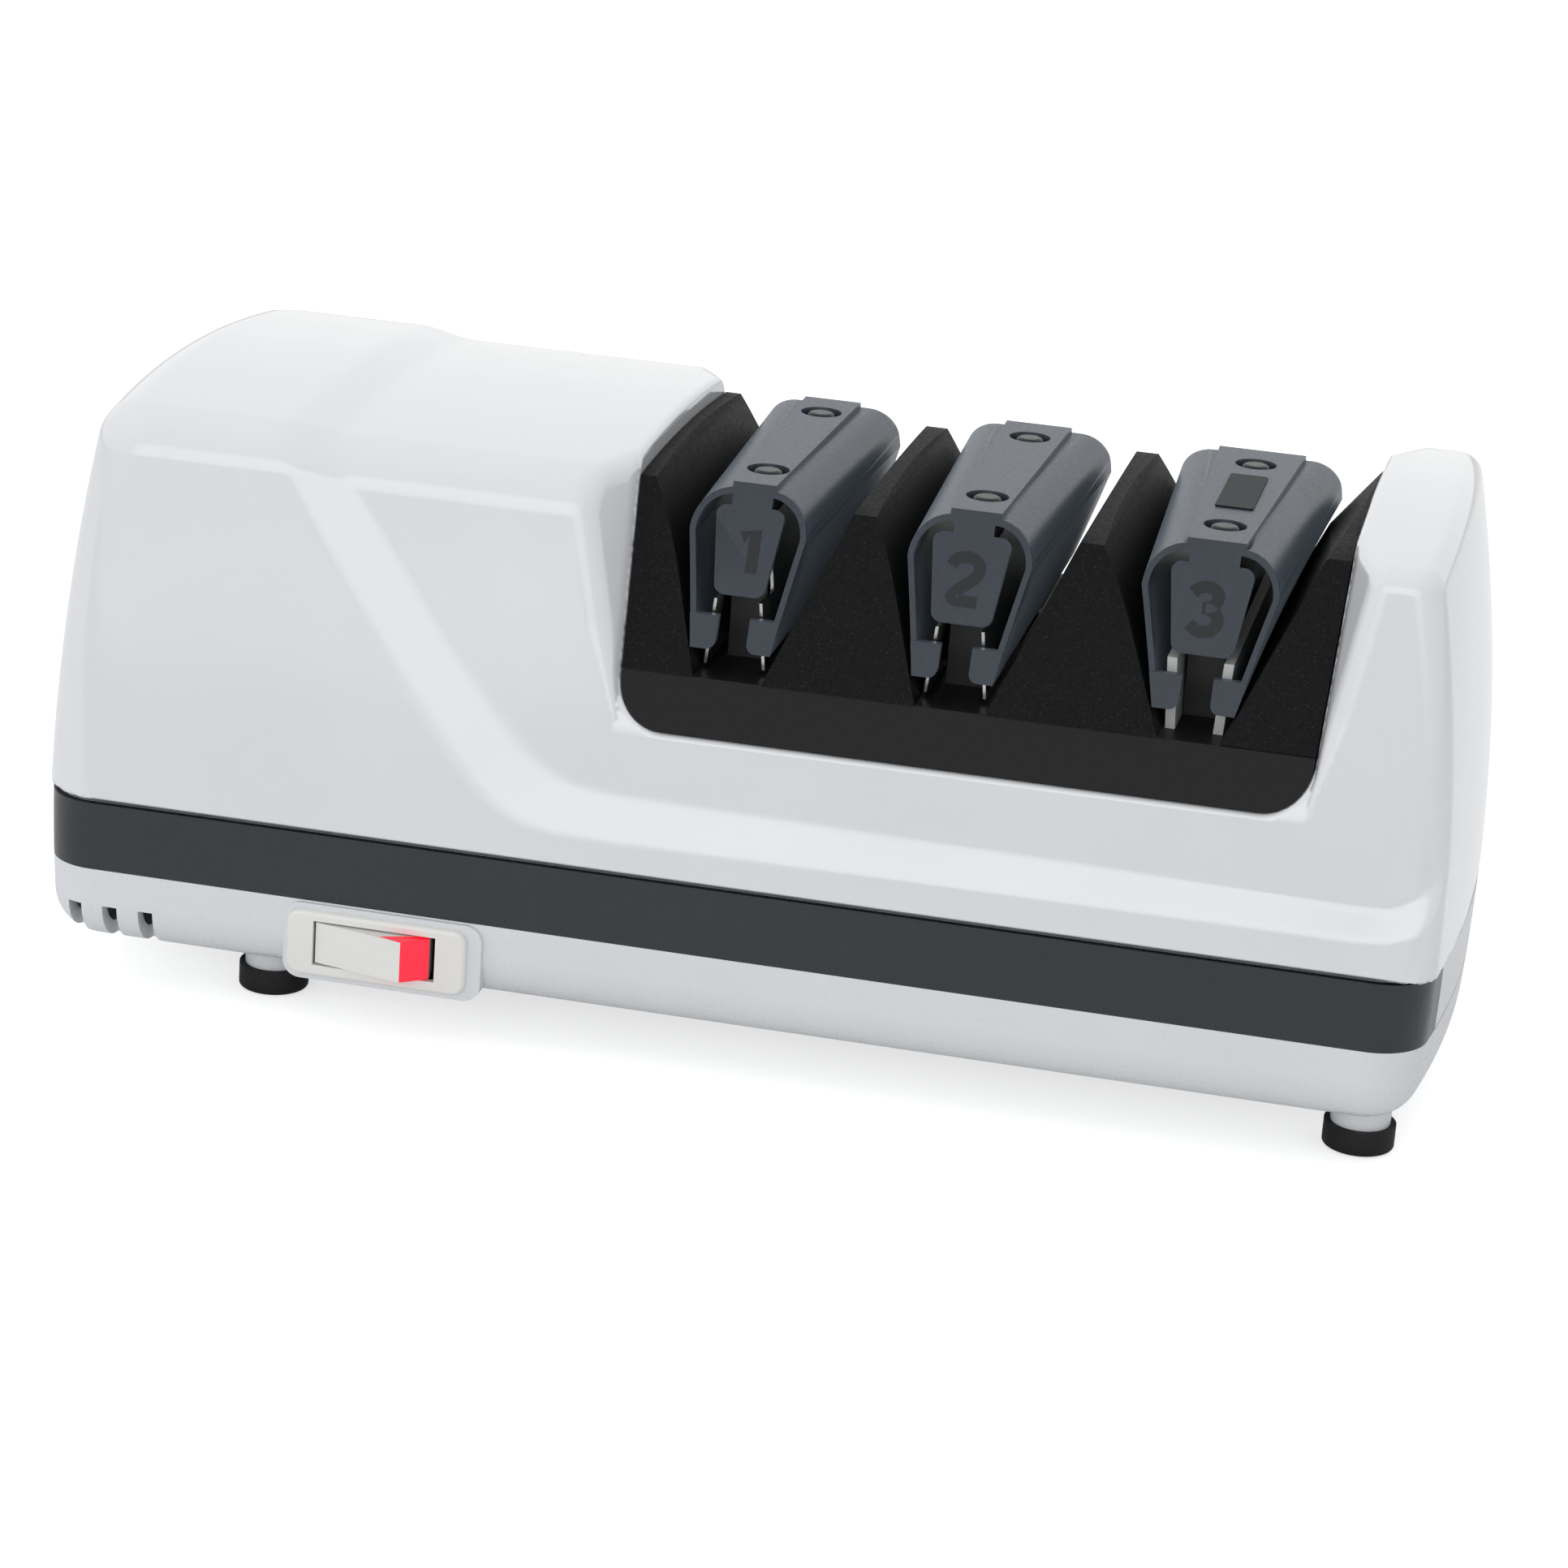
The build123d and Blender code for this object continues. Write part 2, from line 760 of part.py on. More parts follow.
# ---------------------------------------------------------------- switch
with BuildPart() as switch_bezel:
    with BuildSketch(Plane.XZ.offset(boss_face)):
        with Locations(((bezel_left + bezel_right) / 2, (bezel_low + bezel_high) / 2)):
            RectangleRounded(bezel_right - bezel_left, bezel_high - bezel_low, bezel_corner)
    extrude(amount=bezel_thick)
    fillet(switch_bezel.faces().sort_by(Axis.Y)[0].edges(), bezel_edge)
    add(box_between(switch_open["x"], (-boss_face - 2 * bezel_thick, -boss_face + 1), switch_open["z"]),
        mode=Mode.SUBTRACT)
finish(switch_bezel.part, "switch_bezel")

with BuildPart() as switch_body:
    shell = switch_wall - switch_fit
    add(
        box_between(
            (switch_open["x"][0] - shell, switch_open["x"][1] + shell),
            (-boss_face, -switch_back),
            (switch_open["z"][0] - shell, switch_open["z"][1] + shell),
        )
    )
    add(box_between(switch_open["x"], (-boss_face - 1, -switch_floor), switch_open["z"]), mode=Mode.SUBTRACT)
    with BuildSketch(Plane.XY.offset(rocker_low - rocker_gap - pin_reach)):
        with Locations((rocker_pivot_x, -rocker_pivot_y)):
            Circle(pin_radius + running_fit)
    extrude(amount=rocker_high - rocker_low + 2 * (rocker_gap + pin_reach), mode=Mode.SUBTRACT)
finish(switch_body.part, "switch_body")

terminals = []
middle = (rocker_low + rocker_high) / 2
for x in (rocker_pivot_x - terminal_pitch / 2, rocker_pivot_x + terminal_pitch / 2):
    terminals.append(
        box_between(
            (x - terminal_half, x + terminal_half),
            (-switch_back, -switch_back + terminal_reach),
            (middle - terminal_thick / 2, middle + terminal_thick / 2),
        )
    )
finish_group(terminals, "switch_terminals")


def flag_outline():
    """Corner of the rocker that is the red piece."""
    back = (rocker_ridge_y - rocker_end_y) / (rocker_ridge_x - rocker_left)
    return [
        (rocker_ridge_x, -rocker_ridge_y),
        (rocker_right, -rocker_tip_y),
        (rocker_right - 0.3, -rocker_tip_y + 1.5),
        (rocker_ridge_x - flag_reach, -rocker_ridge_y + flag_reach * back + flag_skin),
    ]


with BuildPart() as switch_rocker:
    with BuildSketch(Plane.XY.offset(rocker_low)):
        with BuildLine():
            Polyline(
                (rocker_left, -rocker_end_y),
                (rocker_ridge_x, -rocker_ridge_y),
                (rocker_right, -rocker_tip_y),
                (rocker_right - 0.6, -rocker_back_y),
                (rocker_pivot_x, -rocker_back_y + 2.0),
                (rocker_left + 0.9, -rocker_back_y),
                close=True,
            )
        make_face()
        with BuildLine():
            Polyline(*flag_outline(), close=True)
        make_face(mode=Mode.SUBTRACT)
    extrude(amount=rocker_high - rocker_low)
    with BuildSketch(Plane.XY.offset(rocker_low - rocker_gap - pin_reach + pin_end_gap)):
        with Locations((rocker_pivot_x, -rocker_pivot_y)):
            Circle(pin_radius)
    extrude(amount=rocker_high - rocker_low + 2 * (rocker_gap + pin_reach - pin_end_gap))
finish(switch_rocker.part, "switch_rocker")

with BuildPart() as rocker_flag:
    with BuildSketch(Plane.XY.offset(rocker_low)):
        with BuildLine():
            Polyline(*flag_outline(), close=True)
        make_face()
    extrude(amount=rocker_high - rocker_low)
finish(rocker_flag.part, "rocker_flag")


# ---------------------------------------------------------------- black insert
def insert_envelope(low, top):
    """Prism between the rim planes from a height up to an arched top."""
    high_y = rim_y(top) - insert_fit
    low_y = rim_y(low) - insert_fit
    drop = high_y**2 / (2 * insert_arch)
    with BuildPart() as prism:
        with BuildSketch(Plane.YZ.offset(saddle_left - 10)):
            with BuildLine():
                Polyline((-high_y, top - drop), (-low_y, low), (low_y, low), (high_y, top - drop))
                ThreePointArc((high_y, top - drop), (0, top), (-high_y, top - drop))
            make_face()
        extrude(amount=saddle_right - saddle_left + 20)
    return prism.part


with BuildPart() as insert_deck:
    extrude(saddle_outline(insert_fit, deck_top), amount=half_depth, both=True)
    add(insert_envelope(saddle_floor, deck_top + 20), mode=Mode.INTERSECT)
    # hollow underside
    add(
        box_between(
            (saddle_left + saddle_corner, saddle_right - saddle_corner),
            (-rim_y(deck_top) + deck_wall, rim_y(deck_top) - deck_wall),
            (saddle_floor - 1, deck_top - deck_plate),
        ),
        mode=Mode.SUBTRACT,
    )
    # windows over the discs
    for x in stage_x:
        add(
            box_between(
                (x - window_half_x, x + window_half_x),
                (-window_half_y, window_half_y),
                (saddle_floor, deck_top + 1),
            ),
            mode=Mode.SUBTRACT,
        )
finish(insert_deck.part, "insert_deck")


def knife_face(foot_x, run, top_x, top):
    """Right face of a wedge: straight from its foot, then turned over to its top."""
    turn = (foot_x - (wedge_turn - deck_top) * run, wedge_turn)
    Line((foot_x, deck_top), turn)
    ThreePointArc(turn, ((turn[0] + top_x) / 2 + face_bulge, (wedge_turn + top) / 2), (top_x, top))


def wedge(left_foot, left_top, right_top, right_foot, top, run):
    """One knife guide wedge between its four corners on the XZ plane, arched along its top; run is the
    run over rise of its right face, or 0 where that face stands against the saddle wall."""
    with BuildPart() as block:
        with BuildSketch(Plane.XZ):
            with BuildLine():
                Polyline((right_foot, deck_top), (left_foot, deck_top), (left_top, top), (right_top, top))
                if run:
                    knife_face(right_foot, run, right_top, top)
                else:
                    Line((right_top, top), (right_foot, deck_top))
            make_face()
        extrude(amount=half_depth, both=True)
        add(insert_envelope(deck_top, top), mode=Mode.INTERSECT)
    return block.part


def left_wall(z):
    """Left side of the insert at a height."""
    return saddle_left + insert_fit - (z - saddle_floor) * tan(radians(saddle_lean_left))


def right_wall(z):
    """Right side of the insert at a height."""
    return saddle_right - insert_fit + (z - saddle_floor) * tan(radians(saddle_lean_right))


left_wedge = wedge(left_wall(deck_top), left_wall(outer_wedge_top),
                   left_wall(outer_wedge_top) + outer_wedge_land, wedge_foot_right[0], outer_wedge_top,
                   wedge_slope_right[0])
finish(left_wedge, "guide_wedge_left")
for name, index in (("guide_wedge_centre_left", 0), ("guide_wedge_centre_right", 1)):
    left_top = wedge_foot_left[index] + (inner_wedge_top - deck_top) * wedge_slope_left[index]
    centre_wedge = wedge(wedge_foot_left[index], left_top, left_top + inner_wedge_land,
                         wedge_foot_right[index + 1], inner_wedge_top, wedge_slope_right[index + 1])
    finish(centre_wedge, name)


def right_face(z):
    """Left face of the right wedge at a height."""
    return wedge_foot_left[2] + (z - deck_top) * wedge_slope_left[2]


with BuildPart() as right_wedge:
    add(wedge(wedge_foot_left[2], right_face(outer_wedge_top), right_wall(outer_wedge_top),
              right_wall(deck_top), outer_wedge_top, 0))
    # facet that narrows its top towards the back
    start = Vector(right_face(outer_wedge_top), -rim_top_y, outer_wedge_top)
    along = Vector(right_wall(outer_wedge_top) - facet_land, facet_y, outer_wedge_top) - start
    down = Vector(right_face(facet_low), rim_top_y, facet_low) - start
    with Locations(Plane(origin=start, x_dir=along, z_dir=along.cross(down))):
        Box(4 * half_depth, 60, 30, align=(Align.CENTER, Align.CENTER, Align.MIN), mode=Mode.SUBTRACT)
finish(right_wedge.part, "guide_wedge_right")


# ---------------------------------------------------------------- spring guides and their bridges
def guide_envelope(inset):
    """Prism between the guides' reclined ends, drawn inwards by an inset."""
    low, high = guide_foot - 2, guide_roof + 3
    low_y, high_y = (guide_end_y + (guide_roof - z) * recline - inset for z in (low, high))
    with BuildPart() as prism:
        with BuildSketch(Plane.YZ.offset(stage_x[0] - 20)):
            with BuildLine():
                Polyline((-low_y, low), (low_y, low), (high_y, high), (-high_y, high), close=True)
            make_face()
        extrude(amount=stage_x[2] - stage_x[0] + 40)
    return prism.part


def guide_form(index, inset):
    """Outside of a spring guide, wider towards the back, or its inside when inset by its wall."""
    x = stage_x[index]
    low = guide_foot - 3
    end_y = rim_y(guide_foot) + 0.5
    with BuildPart() as form:
        for y in (-end_y, end_y):
            share = (y + guide_end_y) / (2 * guide_end_y)
            half = guide_half[index] + share * (guide_back_half[index] - guide_half[index])
            shoulder = guide_shoulder + share * (guide_back_shoulder - guide_shoulder)
            lean = (half - guide_foot_half) / (guide_widest - guide_foot)
            with BuildSketch(Plane.XZ.offset(-y)) as arch:
                with BuildLine():
                    Polyline(
                        (x - guide_foot_half + 3 * lean + inset, low),
                        (x - half + inset, guide_widest),
                        (x - half + guide_tuck + inset, guide_roof - inset),
                        (x + half - guide_tuck - inset, guide_roof - inset),
                        (x + half - inset, guide_widest),
                        (x + guide_foot_half - 3 * lean - inset, low),
                        close=True,
                    )
                make_face()
                fillet(arch.vertices().group_by(Axis.Y)[-1], shoulder - inset)
        loft(ruled=True)
    return form.part


def number_plate(index):
    """Plate that hangs by its neck from the roof, in the plane of the guide's front end."""
    steep = sqrt(1 + recline**2)
    top, foot = ((z - guide_roof) * steep for z in (plate_top, plate_foot))
    end = Plane(origin=(stage_x[index], -guide_end_y, guide_roof), x_dir=(1, 0, 0), z_dir=(0, -1, recline))
    with BuildPart() as plate:
        with BuildSketch(end) as outline:
            with BuildLine():
                Polyline(
                    (-plate_foot_half[index], foot),
                    (plate_foot_half[index], foot),
                    (plate_top_half[index], top),
                    (-plate_top_half[index], top),
                    close=True,
                )
            make_face()
            fillet(outline.vertices(), plate_corner)
            with Locations((0, top / 2)):
                Rectangle(2 * plate_neck_half[index], 1 - top)
        extrude(amount=-guide_wall)
    return plate.part


def foot_tabs(index):
    """Tabs that turn in from the feet of both arms, at both ends of a guide."""
    x = stage_x[index]
    width = guide_foot_half + tab_inner + 3
    with BuildPart() as tabs:
        for side in (-1, 1):
            with BuildSketch(Plane.XZ) as outline:
                with Locations((x + side * (tab_inner + width / 2), guide_foot + tab_height / 2)):
                    Rectangle(width, tab_height)
                inner = outline.vertices().sort_by(lambda v: abs(v.X - x))[:2]
                fillet(min(inner, key=lambda v: v.Y), tab_round)
            extrude(amount=half_depth, both=True)
        add(guide_form(index, 0.0), mode=Mode.INTERSECT)
        add(guide_envelope(-tab_proud), mode=Mode.INTERSECT)
        add(guide_envelope(guide_wall), mode=Mode.SUBTRACT)
    return tabs.part


def spring_guide(index):
    """Arched guide with a raised strip, screw recesses, foot tabs and the hanging number plates."""
    x = stage_x[index]
    with BuildPart() as guide:
        add(guide_form(index, 0.0))
        with BuildSketch(Plane.XY.offset(guide_roof - guide_wall / 2)):
            with BuildLine():
                Polyline(
                    (x - strip_front[index], -guide_end_y),
                    (x + strip_front[index], -guide_end_y),
                    (x + strip_back[index], guide_end_y),
                    (x - strip_back[index], guide_end_y),
                    close=True,
                )
            make_face()
        extrude(amount=guide_wall / 2 + guide_strip)
        add(guide_form(index, guide_wall), mode=Mode.SUBTRACT)
        add(guide_envelope(0.0), mode=Mode.INTERSECT)
        below = box_between((x - 20, x + 20), (-half_depth, half_depth), (guide_foot - 5, guide_foot))
        add(below, mode=Mode.SUBTRACT)
        # recesses and holes for the screws
        for y in (-screw_y, screw_y):
            with Locations((x, y, screw_seat + guide_strip)):
                Cylinder(screw_recess / 2, 2 * guide_strip, mode=Mode.SUBTRACT)
            with Locations((x, y, guide_roof - 2)):
                Cylinder(screw_shank / 2 + screw_clearance, 6, mode=Mode.SUBTRACT)
        add(foot_tabs(index))
        add(number_plate(index))
        add(mirror(number_plate(index), about=Plane.XZ))
    return guide.part


def guide_bridge(index):
    """Upright web that the spring guide is screwed to, arched over the discs."""
    x = stage_x[index]
    top = guide_roof - guide_wall
    with BuildPart() as bridge:
        with BuildSketch(Plane.YZ.offset(x)):
            with BuildLine():
                Polyline(
                    (-bridge_leg_outer, top), (-bridge_leg_outer, deck_top), (-bridge_leg_inner, deck_top)
                )
                ThreePointArc((-bridge_leg_inner, deck_top), (0, bridge_arch), (bridge_leg_inner, deck_top))
                Polyline(
                    (bridge_leg_inner, deck_top),
                    (bridge_leg_outer, deck_top),
                    (bridge_leg_outer, top),
                    (-bridge_leg_outer, top),
                )
            make_face()
        extrude(amount=bridge_half, both=True)
        chamfer(bridge.faces().sort_by(Axis.Z)[-1].edges().filter_by(Axis.Y), bridge_chamfer)
        for y in (-screw_y, screw_y):
            with Locations((x, y, top - screw_reach / 2 + 0.5)):
                Cylinder(screw_shank / 2 + screw_clearance, screw_reach + 1, mode=Mode.SUBTRACT)
    return bridge.part


guide_screws = []
for index, x in enumerate(stage_x):
    finish(spring_guide(index), f"spring_guide_{index + 1}")
    finish(guide_bridge(index), f"guide_bridge_{index + 1}")
    for y in (-screw_y, screw_y):
        with BuildPart() as screw:
            with Locations((x, y, screw_seat + screw_dome / 2)):
                Cylinder(screw_head / 2, screw_dome)
            fillet(screw.edges().group_by(Axis.Z)[-1], screw_dome_round)
            with Locations((x, y, screw_seat - screw_reach / 2)):
                Cylinder(screw_shank / 2, screw_reach)
        guide_screws.append(screw.part)
finish_group(guide_screws, "guide_screws")

leaves = []
for x in stage_x[:2]:
    for side in (-1, 1):
        near = side * bridge_half
        thick = side * leaf_thickness
        foot = near + side * leaf_foot_out
        with BuildPart() as leaf:
            with BuildSketch(Plane.XZ):
                with BuildLine():
                    Polyline(
                        (x + near, leaf_top),
                        (x + near, leaf_bend),
                        (x + foot, leaf_foot),
                        (x + foot + thick, leaf_foot),
                        (x + near + thick, leaf_bend),
                        (x + near + thick, leaf_top),
                        close=True,
                    )
                make_face()
            extrude(amount=leaf_end_y, both=True)
            window_z = (leaf_foot - 1, bridge_arch)
            add(box_between((x - 10, x + 10), (-window_half_y, window_half_y), window_z), mode=Mode.SUBTRACT)
            for end in (-1, 1):
                over = sorted((end * bridge_leg_outer, end * (leaf_end_y + 1)))
                room = box_between((x - 10, x + 10), over, (plate_foot - 1, leaf_top + 1))
                add(room, mode=Mode.SUBTRACT)
        leaves.append(leaf.part)
finish_group(leaves, "guide_leaves")

guards = []
for side in (-1, 1):
    lean = guard_height * guard_lean
    x = stage_x[2]
    with BuildPart() as guard:
        with BuildSketch(Plane.XZ):
            with BuildLine():
                Polyline(
                    (x + side * guard_foot, deck_top),
                    (x + side * (guard_foot + guard_thickness), deck_top),
                    (x + side * (guard_foot + guard_thickness + lean), deck_top + guard_height),
                    (x + side * (guard_foot + lean), deck_top + guard_height),
                    close=True,
                )
            make_face()
        extrude(amount=leaf_end_y, both=True)
    guards.append(guard.part)
finish_group(guards, "strop_guards")

with BuildPart() as guide_label:
    with BuildSketch(Plane.XY.offset(guide_roof + guide_strip)):
        with Locations((stage_x[2], label_y)):
            RectangleRounded(2 * label_half_x, 2 * label_half_y, label_corner)
    extrude(amount=label_thick)
finish(guide_label.part, "guide_label")


# ---------------------------------------------------------------- shaft, discs and springs
shaft_axis = Axis((0, 0, shaft_height), (1, 0, 0))


def ring(x_from, x_to, outer, inner):
    """Ring round the shaft axis."""
    with BuildPart() as tube:
        with BuildSketch(Plane((x_from, 0, shaft_height), x_dir=(0, 1, 0), z_dir=(1, 0, 0))):
            Circle(outer)
            if inner:
                Circle(inner, mode=Mode.SUBTRACT)
        extrude(amount=x_to - x_from)
    return tube.part


def flat_bore(x_from, x_to, fit):
    """Length of shaft with its two flats, grown by a fit to cut what sits on it."""
    with BuildPart() as core:
        with BuildSketch(Plane((x_from, 0, shaft_height), x_dir=(0, 1, 0), z_dir=(1, 0, 0))):
            Circle(shaft_radius + fit)
            Rectangle(4 * shaft_radius, 2 * (shaft_flat + fit), mode=Mode.INTERSECT)
        extrude(amount=x_to - x_from)
    return core.part


flat_from = stage_x[0] - 2 * disc_outer
flat_to = stage_x[2] + 2 * disc_outer
with BuildPart() as drive_shaft:
    add(ring(shaft_left, flat_from, shaft_radius, 0))
    add(flat_bore(flat_from, flat_to, 0.0))
    add(ring(flat_to, shaft_right, shaft_radius, 0))
finish(drive_shaft.part, "drive_shaft")


def disc(index, side):
    """Conical disc; side is -1 for the left one of a stage and +1 for the right one."""
    x = stage_x[index]
    up = shaft_height
    with BuildPart() as wheel:
        with BuildSketch(Plane.XZ):
            with BuildLine():
                Polyline(
                    (x + side * disc_inner, up + disc_radius),
                    (x + side * (disc_inner + disc_rim), up + disc_radius),
                    (x + side * disc_outer, up + disc_flat_radius),
                    (x + side * disc_outer, up + 1),
                    (x + side * (disc_inner + disc_pocket), up + 1),
                    (x + side * (disc_inner + disc_pocket), up + pocket_radius),
                    (x + side * disc_inner, up + pocket_radius),
                    close=True,
                )
            make_face()
        revolve(axis=shaft_axis)
        add(flat_bore(x - 2 * disc_outer, x + 2 * disc_outer, running_fit), mode=Mode.SUBTRACT)
    return wheel.part


def disc_spring(index, side):
    """Short coil between the stop collar and one disc."""
    near = collar_half + spring_wire + spring_end_gap
    far = disc_inner + disc_pocket - spring_wire - spring_end_gap
    start = stage_x[index] + side * near
    with BuildPart() as spring:
        with BuildLine() as path:
            Helix(pitch=(far - near) / spring_turns, height=far - near, radius=spring_radius,
                  center=(start, 0, shaft_height), direction=(side, 0, 0))
        with BuildSketch(Plane(origin=path.line @ 0, z_dir=path.line % 0)):
            Circle(spring_wire)
        sweep()
    return spring.part


collars = []
for index, grade in enumerate(("coarse", "fine", "strop")):
    for side, hand in ((-1, "left"), (1, "right")):
        finish(disc(index, side), f"{grade}_disc_{hand}")
        finish(disc_spring(index, side), f"{grade}_spring_{hand}")
    collar_x = stage_x[index]
    with BuildPart() as collar:
        add(ring(collar_x - collar_half, collar_x + collar_half, collar_radius, 0))
        add(flat_bore(collar_x - 1, collar_x + 1, 0.0), mode=Mode.SUBTRACT)
    collars.append(collar.part)
finish_group(collars, "stop_collars")


# ---------------------------------------------------------------- motor
stack_left, stack_right = motor_x - stack / 2, motor_x + stack / 2
bolt_places = [(y, z) for y in (-bolt_y, bolt_y) for z in (bolt_low, bolt_high)]


def across(x):
    """Plane square to the shaft with y and z as its axes."""
    return Plane((x, 0, 0), x_dir=(0, 1, 0), z_dir=(1, 0, 0))


coil_out = bobbin_fit + bobbin_wall + winding_depth
window_low = shaft_height + bore_radius + pole_bridge
bar_low = window_low + coil_room + coil_out
coil_bar = core_top - bar_low
with BuildPart() as stator_core:
    with BuildSketch(across(stack_left)):
        with Locations((0, (core_bottom + core_top) / 2)):
            Rectangle(2 * core_half, core_top - core_bottom)
        with Locations((0, (window_low + core_top) / 2 + 1)):
            Rectangle(2 * coil_gap_half, core_top - window_low + 2, mode=Mode.SUBTRACT)
        with Locations((0, shaft_height)):
            Circle(bore_radius, mode=Mode.SUBTRACT)
        with Locations(*bolt_places):
            Circle(bolt_radius + screw_clearance, mode=Mode.SUBTRACT)
    extrude(amount=stack)
finish(stator_core.part, "stator_core")

with BuildPart() as coil_core:
    with BuildSketch(across(stack_left)):
        with Locations((0, core_top - coil_bar / 2)):
            Rectangle(2 * coil_gap_half, coil_bar)
    extrude(amount=stack)
finish(coil_core.part, "coil_core")


def coil_shell(half_y, outer, inner):
    """Rectangular tube round the coil core, with walls from inner to outer beyond the core."""
    with BuildPart() as tube:
        for grow, mode in ((outer, Mode.ADD), (inner, Mode.SUBTRACT)):
            with BuildSketch(Plane.XZ.offset(-half_y)):
                with Locations((motor_x, core_top - coil_bar / 2)):
                    RectangleRounded(stack + 2 * grow, coil_bar + 2 * grow, grow)
            extrude(amount=2 * half_y, mode=mode)
    return tube.part


bobbin_half = coil_gap_half - bobbin_end_gap
with BuildPart() as coil_bobbin:
    add(coil_shell(bobbin_half, bobbin_fit + bobbin_wall, bobbin_fit))
    for side in (-1, 1):
        rim = sorted((side * bobbin_half, side * (bobbin_half - flange)))
        with BuildSketch(Plane.XZ.offset(-rim[1])):
            with Locations((motor_x, core_top - coil_bar / 2)):
                RectangleRounded(stack + 2 * coil_out, coil_bar + 2 * coil_out, bobbin_corner)
                Rectangle(stack + 2 * bobbin_fit, coil_bar + 2 * bobbin_fit, mode=Mode.SUBTRACT)
        extrude(amount=flange)
finish(coil_bobbin.part, "coil_bobbin")

finish(coil_shell(bobbin_half - flange, coil_out - winding_below, bobbin_fit + bobbin_wall), "motor_winding")


def end_bracket(side):
    """Plate with a bearing hub, stood off the stack on four spacers."""
    near = motor_x + side * (stack / 2 + bracket_gap)
    far = near + side * bracket
    low, high = sorted((near, far))
    with BuildPart() as plate:
        with BuildSketch(across(low)):
            with Locations((0, (core_bottom + bolt_high + bracket_over) / 2)):
                RectangleRounded(2 * core_half, bolt_high + bracket_over - core_bottom, bracket_corner)
        extrude(amount=bracket)
        middle_x = (low + high) / 2
        add(ring(middle_x - bearing_length / 2, middle_x + bearing_length / 2, hub_radius, 0))
        for y, z in bolt_places:
            spacer = sorted((near, near - side * bracket_gap))
            with BuildSketch(Plane((spacer[0], y, z), x_dir=(0, 1, 0), z_dir=(1, 0, 0))):
                Circle(spacer_radius)
            extrude(amount=bracket_gap)
        for y, z in bolt_places:
            with BuildSketch(Plane((low - bracket_gap - 1, y, z), x_dir=(0, 1, 0), z_dir=(1, 0, 0))):
                Circle(bolt_radius + screw_clearance)
            extrude(amount=2 * bracket_gap + bracket + 2, mode=Mode.SUBTRACT)
        add(ring(low - bearing_length, high + bearing_length, bearing_radius, 0), mode=Mode.SUBTRACT)
    return plate.part, middle_x


bracket_left, bearing_left_x = end_bracket(-1)
bracket_right, bearing_right_x = end_bracket(1)
finish(bracket_left, "motor_bracket_left")
finish(bracket_right, "motor_bracket_right")

bolts = []
bolt_from = stack_left - bracket_gap - bracket
bolt_to = stack_right + bracket_gap + bracket
for y, z in bolt_places:
    with BuildPart() as bolt:
        for x_from, x_to, radius in (
            (bolt_from - bolt_head_height, bolt_from, bolt_head),
            (bolt_from - 1, bolt_to + bolt_end, bolt_radius),
            (bolt_to, bolt_to + bolt_head_height, bolt_head),
        ):
            with BuildSketch(Plane((x_from, y, z), x_dir=(0, 1, 0), z_dir=(1, 0, 0))):
                if radius > bolt_radius:
                    RegularPolygon(radius, 6)
                else:
                    Circle(radius)
            extrude(amount=x_to - x_from)
    bolts.append(bolt.part)
finish_group(bolts, "motor_bolts")

with BuildPart() as rotor:
    add(ring(stack_left, stack_right, bore_radius - rotor_gap, shaft_radius))
    add(ring(stack_left - end_ring, stack_left, end_ring_outer, end_ring_inner))
    add(ring(stack_right, stack_right + end_ring, end_ring_outer, end_ring_inner))
finish(rotor.part, "rotor")

fan_from = shaft_left + 1
with BuildPart() as cooling_fan:
    add(ring(fan_from, fan_from + fan_width, fan_hub, shaft_radius))
    add(ring(fan_from, fan_from + fan_plate, fan_plate_radius, shaft_radius))
    with BuildSketch(Plane((fan_from, 0, shaft_height), x_dir=(0, 1, 0), z_dir=(1, 0, 0))):
        with PolarLocations((fan_hub - 1 + fan_radius) / 2, fan_blades):
            Rectangle(fan_radius - fan_hub + 1, fan_blade)
    extrude(amount=fan_width)
finish(cooling_fan.part, "cooling_fan")

with BuildPart() as bearing_block:
    with BuildSketch(across(block_x - block_half_x)):
        with BuildLine():
            Polyline(
                (-block_half_y, shaft_height),
                (-block_half_y, block_foot),
                (block_half_y, block_foot),
                (block_half_y, shaft_height),
            )
            ThreePointArc(
                (block_half_y, shaft_height), (0, shaft_height + block_half_y), (-block_half_y, shaft_height)
            )
        make_face()
        with Locations((0, shaft_height)):
            Circle(bearing_radius, mode=Mode.SUBTRACT)
    extrude(amount=2 * block_half_x)
finish(bearing_block.part, "bearing_block")

bearings = []
for x in (bearing_left_x, bearing_right_x, block_x):
    low, high = x - bearing_length / 2, x + bearing_length / 2
    bearings.append(ring(low, high, bearing_radius, shaft_radius + running_fit))
finish_group(bearings, "shaft_bearings")


